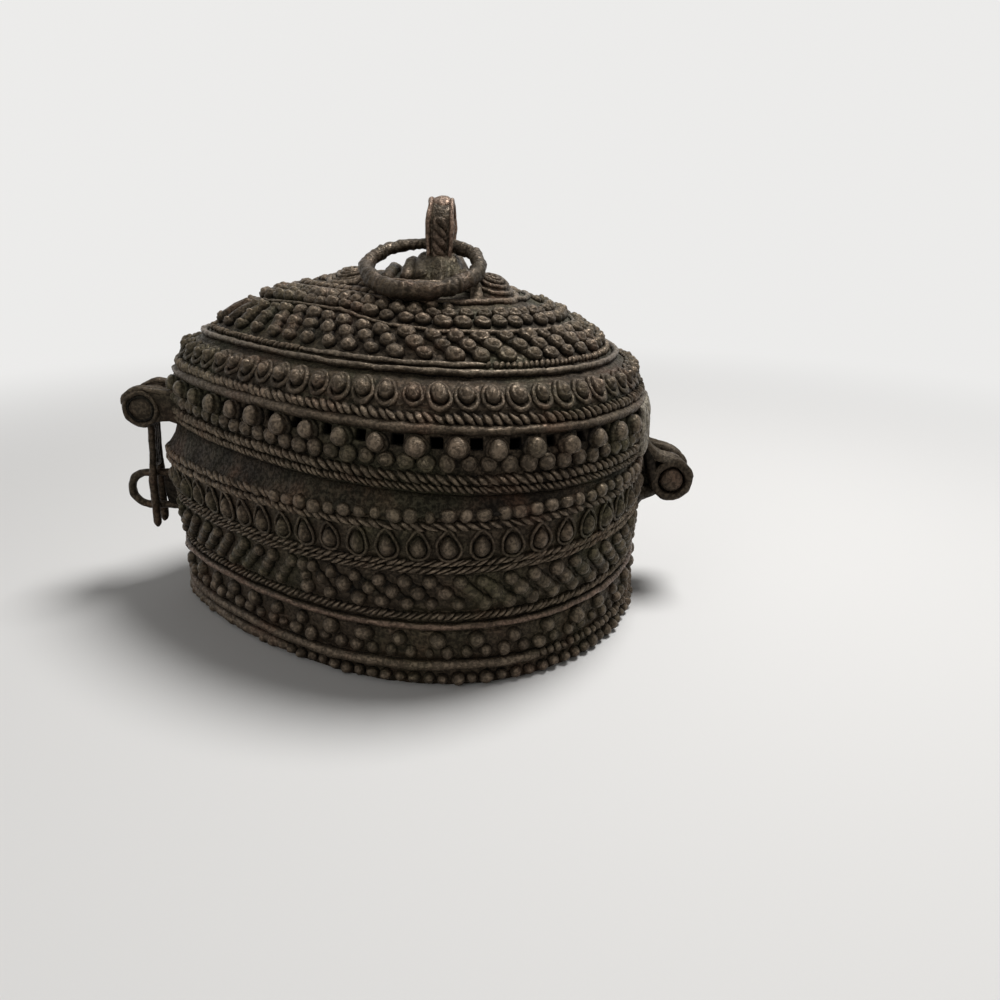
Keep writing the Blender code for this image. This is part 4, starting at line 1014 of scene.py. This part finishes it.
def pin(name, body, node, material, axis, half, radius):
    """Short bar across the box, its ends hammered round."""
    share = np.array([0.0, 0.5, 0.9, 0.95, 0.985, 1.0])
    size = radius * np.array([1.0, 1.0, 1.0, 0.93, 0.78, 0.4])
    share = np.concatenate([-share[:0:-1], share])
    size = np.concatenate([size[:0:-1], size])
    path = [(axis[0], part * half, axis[1]) for part in share]
    rod = sweep(Shape(body), path, size, ALONG_X, 22, uneven=0.0, blunt=False, rise=0.58)
    rod.build(name, node, material, "worn_brass")


def add_hinge():
    strap = Shape("lid")
    for sign, out in ((-1.0, 0.0), (1.0, 0.7)):
        arm = [(x + out if x > ARM_BEND_X else x, z) for x, z in STRAP_ARM]
        y = sign * STRAP_MIDDLE
        for corners, flat, rise in ((arm, 0.36, 0.15), (STRAP_LEG, 0.5, 0.1)):
            path = upright(corners, y, 26)
            sweep(strap, path, STRAP_HALF, sides=16, flat=flat, rise=rise, blunt=False)
        eye = circle_path(HINGE_AXIS, y, 4.15)
        sweep(strap, eye, STRAP_HALF, closed=True, flat=0.42, sides=16, rise=0.15)
        for row in STRAP_ROWS:
            y = sign * row
            ring = circle_path(HINGE_AXIS, y, 4.2 + rng.normal(0.0, 0.06))
            sweep(strap, ring, 0.5, closed=True, flat=1.9, sides=10, rise=0.45)
            sweep(strap, upright(arm, y, 26), 0.44, flat=2.5, sides=10, rise=0.6)
            sweep(strap, upright(STRAP_LEG, y, 14), 0.5, flat=2.2, sides=9, rise=0.2)
    add_plate(strap)
    strap.build("hinge_strap_wires", "hinge_lid_strap", PALE, "green_patina")
    eye = circle_path(HINGE_AXIS, 0.0, 4.0)
    tongue = sweep(Shape("tub"), eye, 2.1, closed=True, flat=0.52, rise=0.4)
    width = np.interp(np.linspace(0.0, 1.0, 20), (0.0, 0.25, 0.6, 1.0), (5.5, 3.4, 2.3, 1.7))
    sweep(tongue, upright(TONGUE, 0.0, 20), width, flat=0.75, rise=0.3, blunt=False)
    sweep(tongue, upright(TONGUE_WEB, 0.0, 12), 2.0, flat=1.9, rise=0.1, blunt=False)
    tongue.build("hinge_tongue", "hinge_body_lug", GREEN, "green_patina")
    pin("hinge_pin_rod", "tub", "hinge_pin", RUDDY, HINGE_AXIS, HINGE_PIN_HALF, HINGE_PIN_RADIUS)


def add_plate(shape):
    """Upright wires laid on the lid's wall, over a pad of wax."""
    low, high = LID.up(PLATE_LOW_Z), LID.up(PLATE_HIGH_Z)
    middle = (low + high) / 2.0
    stamp(shape, LID, PAD, 0.0, middle, (PLATE_HALF, (high - low) / 2.0, 1.5), full=2.2)
    girth = LID.girth(middle)
    climb = np.linspace(low + 0.5, high + 0.6, 24)
    for y in np.arange(-18.4, 18.5, 2.3):
        u = (y + 0.35 * np.sin(climb * 0.8 + y)) / girth
        path = LID.place(u, climb, 1.2 + 0.12 * np.sin(climb * 1.1 + 2.0 * y))
        # Rise above 1 makes these wires the lightest, with the most painted sheen and painted
        # highlight.
        sweep(shape, path, 1.15 + rng.normal(0.0, 0.07), sides=10, flat=0.8, rise=1.15, uneven=0.03)
    rim = LID.place(np.linspace(-18.5, 18.5, 60) / girth, low + 0.4, 0.8)
    sweep(shape, rim, 1.1, ALONG_Z, 10, rise=0.8, uneven=0.06)


# Hasp: ears on the lid, the swinging strap and the tub's staple

HASP_AXIS = (-61.3, 47.8)
HASP_PIN_RADIUS = 2.6
HASP_PIN_HALF = 6.3
EAR_MIDDLE = 4.75
EAR_HALF = 1.35
EAR_RADIUS = 4.6
EAR_UNDER = ((3.0, -3.5), (4.6, -3.1), (6.6, -3.2), (9.4, -4.2))
EAR_OVER = ((9.4, 4.1), (7.6, 3.9), (5.6, 3.8), (3.6, 4.1))
EAR_CREST = ((-4.5, 0.9), (-3.2, 3.3), (-0.4, 4.6), (2.8, 4.3), (5.6, 3.9), (9.4, 4.0))
STRAP_WIRES = (-2.3, -0.8, 0.8, 2.3)
PRONG = ((-62.5, 0.85, 33.0), (-63.0, 0.95, 29.0), (-63.5, 0.95, 22.0), (-63.9, 0.9, 16.2))
STRAP_WEB = ((-61.8, 43.6), (-62.1, 38.0), (-62.5, 32.4))
STAPLE_X = -65.4
STAPLE_Z = 25.7
STAPLE_HALF = 4.3


def ear_outline():
    """Round the pin, then back to the lid's wall."""
    turns = np.radians(np.linspace(75.0, 290.0, 30))
    bend = np.stack([EAR_RADIUS * np.cos(turns), EAR_RADIUS * np.sin(turns)], -1)
    return np.concatenate([bend, EAR_UNDER, EAR_OVER]) + HASP_AXIS


def add_hasp():
    for name, sign in (("front", -1.0), ("back", 1.0)):
        ear = Shape("lid")
        middle = sign * EAR_MIDDLE
        slab(ear, ear_outline(), middle - EAR_HALF, middle + EAR_HALF)
        sweep(ear, circle_path(HASP_AXIS, middle + 1.2 * sign, 3.8), 0.62, closed=True, sides=10)
        # A thin ring with a rise below 0, painted as the shade in the groove round the pin's end.
        sweep(ear, circle_path(HASP_AXIS, sign * 6.1, 2.92), 0.33, closed=True, sides=8, rise=-0.5)
        crest = np.array(EAR_CREST) + HASP_AXIS
        for y in (-0.75, 0.75):
            sweep(ear, upright(crest, middle + y, 24), 0.7, flat=0.9, sides=10, rise=0.8)
        ear.build("hasp_ear_" + name + "_wires", "hasp_ear_" + name, DARK)
    pin("hasp_pin_rod", "lid", "hasp_pin", DARK, HASP_AXIS, HASP_PIN_HALF, HASP_PIN_RADIUS)
    add_strap()
    bend = circle_path((STAPLE_X, STAPLE_Z), 0.0, STAPLE_HALF, 20, 90.0, 270.0)
    legs = [(-57.6, 0.0, STAPLE_Z + STAPLE_HALF + 0.3), (-61.0, 0.0, STAPLE_Z + STAPLE_HALF)]
    path = np.concatenate([legs, bend, [(x, y, 2.0 * STAPLE_Z - z) for x, y, z in legs[::-1]]])
    staple = sweep(Shape("tub"), smooth_path(path, 64), 0.95, rise=0.5, blunt=False)
    # The lug at the staple's root is darkest: painted shade behind the strap.
    blob(staple, (-58.9, 0.0, STAPLE_Z), (2.4, 0.95, 4.8), mould=BLOCK, rise=0.2)
    staple.build("staple_wire", "hasp_staple", DARK)


def add_strap():
    """Four wires round the pin; the outer two go on as prongs past the staple."""
    strap = Shape("hasp")
    for y in STRAP_WIRES:
        ring = circle_path(HASP_AXIS, y, 3.5)
        sweep(strap, ring, 0.8, closed=True, flat=0.8, sides=10, rise=0.5)
        near = 0.72 * y
        corners = [(-61.9, y, 44.8), (-61.7, near, 42.0), (-62.1, near, 38.0)]
        if abs(y) == STRAP_WIRES[-1]:
            corners += [(x, share * y, z) for x, share, z in PRONG]
        else:
            corners += [(-62.5, near, 33.0)]
        path = smooth_path(corners, 48)
        size = np.interp(path[:, 2], (16.2, 30.0, 34.0, 44.0), (0.88, 0.9, 0.75, 0.75))
        sweep(strap, path, size, flat=1.15, rise=0.45)
    sweep(strap, upright(STRAP_WEB, 0.0, 24), 2.1, flat=0.36, sides=14, rise=0.3)
    for x, z in ((-62.3, 38.6), (-62.6, 32.6)):
        bar = [(x, y, z) for y in np.linspace(STRAP_WIRES[0], STRAP_WIRES[-1], 9)]
        sweep(strap, bar, 0.8, ALONG_X, flat=1.2, rise=0.7)
    strap.build("hasp_wires", "hasp_strap", DARK)


# On the crown: the pedestal, the arch and the loose ring

ARCH_X = 6.6
ARCH_HALF = 5.4
ARCH_SPRING_Z = 85.5
PEDESTAL_TOP_Z = 79.9
FOLDS = (
    (0.4, 77.8, 1.3, -0.25), (-3.9, 76.2, 1.25, -0.35), (3.2, 78.6, 1.6, 0.0),
    (6.6, 78.9, 1.7, 0.3), (9.6, 77.9, 1.6, 1.0), (12.0, 75.9, 1.4, 1.4),
)
POST = (
    (15.6, -18.2, 69.6), (15.6, -17.0, 72.2), (15.1, -14.8, 74.2),
    (13.6, -11.0, 75.6), (11.6, -8.4, 76.4),
)
RING_X = 7.0
RING_Z = 84.8
RING_RADIUS = 12.35
RING_LEAN = radians(20.0)
RING_WRAPS = 44


def waves(turns, *each):
    """Sum of waves round a turn, each with a height, a number and a start."""
    return sum(height * np.sin(number * turns + start) for height, number, start in each)


def arch_path(x, grow):
    """Up the front leg, over and down the back one, in the lid's frame."""
    turns = np.linspace(pi, 0.0, 24)
    half = ARCH_HALF + 0.15 + grow
    bend_z = ARCH_SPRING_Z + half * np.sin(turns) ** 0.8
    bend = np.stack([np.full(24, x), half * np.cos(turns), bend_z], -1)
    foot = np.array([[x, -half - 0.25, PEDESTAL_TOP_Z - 1.2], [x, -half, PEDESTAL_TOP_Z + 2.0]])
    path = smooth_path(np.concatenate([foot, bend, (foot * (1.0, -1.0, 1.0))[::-1]]), 44)
    path[:, 0] = ARCH_X + (path[:, 0] - ARCH_X) * arch_width(path[:, 2])
    return path


def arch_width(z):
    """The band is widest halfway up."""
    marks = (PEDESTAL_TOP_Z, PEDESTAL_TOP_Z + 3.5, ARCH_SPRING_Z, ARCH_SPRING_Z + 5.0)
    return np.interp(z, marks, (0.84, 0.96, 1.0, 0.86))


def add_arch():
    """A band with a rail along each edge, and a twist up its legs."""
    band = arch_path(ARCH_X + 0.15, 0.0)
    width = 2.85 * arch_width(band[:, 2])
    shape = sweep(Shape("lid", SEAT), band, width, ALONG_X, 18, flat=0.3, rise=0.5)
    for offset, size in ((-2.45, 0.6), (2.8, 0.52)):
        rail = arch_path(ARCH_X + offset, 0.2)
        sweep(shape, rail, size, ALONG_X, 10, flat=1.25, rise=0.9, uneven=0.05)
    bow = arch_path(ARCH_X + 0.3, 0.35)[15:-15]
    sweep(shape, bow, 1.95, ALONG_X, 16, flat=0.42, rise=0.85)
    for way in (1.0, -1.0):
        y = -way * (ARCH_HALF + 0.7)
        corners = [(ARCH_X + 0.2, y, z) for z in (PEDESTAL_TOP_Z - 0.8, 82.0, 84.0, 87.6)]
        twist(shape, smooth_path(corners, 60), 1.6, -6.4 * way, ALONG_X)
    shape.build("arch_wires", "top_arch", RUDDY)


def add_pedestal():
    """Lumpy mound of wax under the arch, with folds down it and a post."""
    sides, levels = 96, 22
    turns = around(sides)
    climb = np.linspace(0.0, 1.0, levels)[:, None]
    bulge = 1.0 + waves(turns, (0.05, 5, 0.7), (0.045, 9, 2.0), (0.03, 16, 0.0))
    blend = climb ** 0.9
    x = (6.7 + 6.6 * np.cos(turns)) * (1.0 - blend) + (ARCH_X + 0.3 + 3.6 * np.cos(turns)) * blend
    y = (-0.8 + 12.2 * np.sin(turns)) * (1.0 - blend) + 6.8 * np.sin(turns) * blend
    x = (x - 4.0) * bulge ** (1.0 - climb) + 4.0
    y = y * bulge ** (1.0 - climb)
    z = crown_height(x, y) * (1.0 - climb) + PEDESTAL_TOP_Z * climb
    z = z + 1.1 * np.sin(pi * climb) * (1.0 + 0.3 * np.sin(7 * turns)) - 0.6 * (climb < 0.01)
    z = z + 0.2 * np.sin(x * 2.3 + 1.0) * np.sin(y * 2.1) * np.sin(pi * climb)
    points = moved(SEAT, np.stack([x, y, z], -1).reshape(-1, 3))
    rise = np.repeat(0.42 + 0.4 * climb[:, 0], sides)
    shape = Shape("lid", SEAT).add(points, tube_faces(levels, sides, False), rise)
    for x, z, radius, spread in FOLDS:
        for way in (-1.0, 1.0):
            low_x = x + spread * 1.6
            low_z = float(crown_height(np.array(low_x), np.array(way * 11.0))) + 0.1
            corners = [
                (x, -way * 0.6, z), (x, way * 0.8, z), (x + 0.3 * spread, way * 4.6, z - 0.6),
                (low_x, way * 11.0, low_z),
            ]
            size = radius * np.linspace(0.92, 1.3, 20)
            sweep(shape, smooth_path(corners, 20), size, ALONG_X, 14, uneven=0.14)
    sweep(shape, smooth_path(POST, 22), 1.35, ALONG_X, rise=1.3, uneven=0.12)
    shape.build("pedestal_lump", "top_pedestal", MOSSY)


def add_ring():
    """Loose ring, wound like a cord and thicker at its lower side."""
    number, sides = 396, 16
    turns, sections = around(number), around(sides)[None, :]
    lean = np.array((0.0, -cos(RING_LEAN), -sin(RING_LEAN)))
    facing = np.cross(lean, ALONG_X)
    out = np.stack([np.sin(turns), 0.0 * turns, 0.0 * turns], -1) - lean * np.cos(turns)[:, None]
    low = (1.0 - np.cos(turns)) / 2.0
    reach = RING_RADIUS - 0.45 + 0.75 * low ** 3 + waves(turns, (0.14, 7, 0.5), (0.1, 13, 0.0))
    path = np.array((RING_X + 0.2, 0.0, RING_Z)) + lean * RING_RADIUS + out * reach[:, None]
    size = 1.3 + 0.55 * low + waves(turns, (0.07, 11, 0.0), (0.05, 17, 1.0))
    size = size + wander(number, 0.12, 24)
    wound = np.sin((RING_WRAPS * turns + 3.0 * np.sin(5.0 * turns))[:, None] + sections)
    size = size[:, None] * (1.0 + (0.045 - 0.02 * low[:, None] ** 4) * wound)
    section = np.cos(sections)[..., None], np.sin(sections)[..., None]
    ring = out[:, None, :] * section[0] + facing * section[1]
    points = path[:, None, :] + ring * size[..., None]
    # Painted shade: darker on the ring's lower side and in the grooves of its wind, lighter on the
    # ridges.
    rise = 0.64 - 0.16 * low[:, None] + 0.12 * wound
    shape = Shape("ring").add(points, tube_faces(number, sides, True), rise.reshape(-1))
    shape.build("ring_wire", "top_ring", WORN_SHEENED, "worn_brass")


# Floor, lights and camera

FLOOR_REACH = 3.0
CAMERA_PLACE = (23.6, -178.9, 90.1)
CAMERA_DOWN = radians(20.69)
CAMERA_LENS = 26.93
LAMP_AIM = (0.0, 0.0, 45.0)
LAMPS = (
    ("window", (150.0, 60.0, 470.0), 180.0, 2.45),
    ("fill", (-320.0, -420.0, 300.0), 300.0, 0.38),
)


def floor_material():
    """Pale floor that fades into the pale world, and throws little light back."""
    material = bpy.data.materials.new("pale_floor")
    net = Net(material)
    shader = net.tree.nodes["Principled BSDF"]
    seen = net.seen()
    net.feed(shader, {"Roughness": 0.8, "Base Color": net.mix(seen, FLOOR_LIT, FLOOR_SEEN)})
    position = net.add("ShaderNodeTexCoord").outputs["Object"]
    far = net.add("ShaderNodeVectorMath", {0: position}, operation="LENGTH").outputs["Value"]
    glow = net.add("ShaderNodeEmission", {"Color": BACKGROUND}).outputs[0]
    share = net.times(net.ramp(far, 0.1, 0.42), seen)
    fade = net.add("ShaderNodeMixShader", {"Fac": share, 1: shader.outputs[0], 2: glow})
    net.feed(net.tree.nodes["Material Output"], {"Surface": fade.outputs[0]})
    return material


def add_floor():
    mesh = bpy.data.meshes.new("floor")
    low, high = -FLOOR_REACH, FLOOR_REACH
    corners = [(low, low, 0.0), (high, low, 0.0), (high, high, 0.0), (low, high, 0.0)]
    mesh.from_pydata(corners, [], [(0, 1, 2, 3)])
    mesh.materials.append(floor_material())
    floor = in_scene("floor", mesh)


def add_lamp(name, place, size, power):
    lamp = bpy.data.lights.new(name, "AREA")
    lamp.shape = "DISK"
    lamp.size = size * MM
    lamp.energy = power
    item = in_scene(name, lamp)
    item.location = Vector(place) * MM
    item.rotation_mode = "QUATERNION"
    item.rotation_quaternion = (Vector(LAMP_AIM) - Vector(place)).to_track_quat("-Z", "Y")


def add_world():
    world = bpy.data.worlds.new("studio")
    net = Net(world)
    strength = net.plus(net.times(net.seen(), 1.0 - WORLD_LIGHT), WORLD_LIGHT)
    net.feed(net.tree.nodes["Background"], {"Color": BACKGROUND, "Strength": strength})
    bpy.context.scene.world = world


def add_camera():
    data = bpy.data.cameras.new("camera")
    data.lens = CAMERA_LENS
    data.sensor_width = 36.0
    data.clip_start = 0.01
    camera = in_scene("camera", data)
    camera.location = Vector(CAMERA_PLACE) * MM
    camera.rotation_euler = (pi / 2.0 - CAMERA_DOWN, 0.0, 0.0)
    bpy.context.scene.camera = camera


add_camera()
add_floor()
add_world()
for lamp in LAMPS:
    add_lamp(*lamp)
add_tub()
add_lid()
add_hinge()
add_hasp()
add_arch()
add_pedestal()
add_ring()
bpy.context.scene.view_settings.view_transform = "Standard"
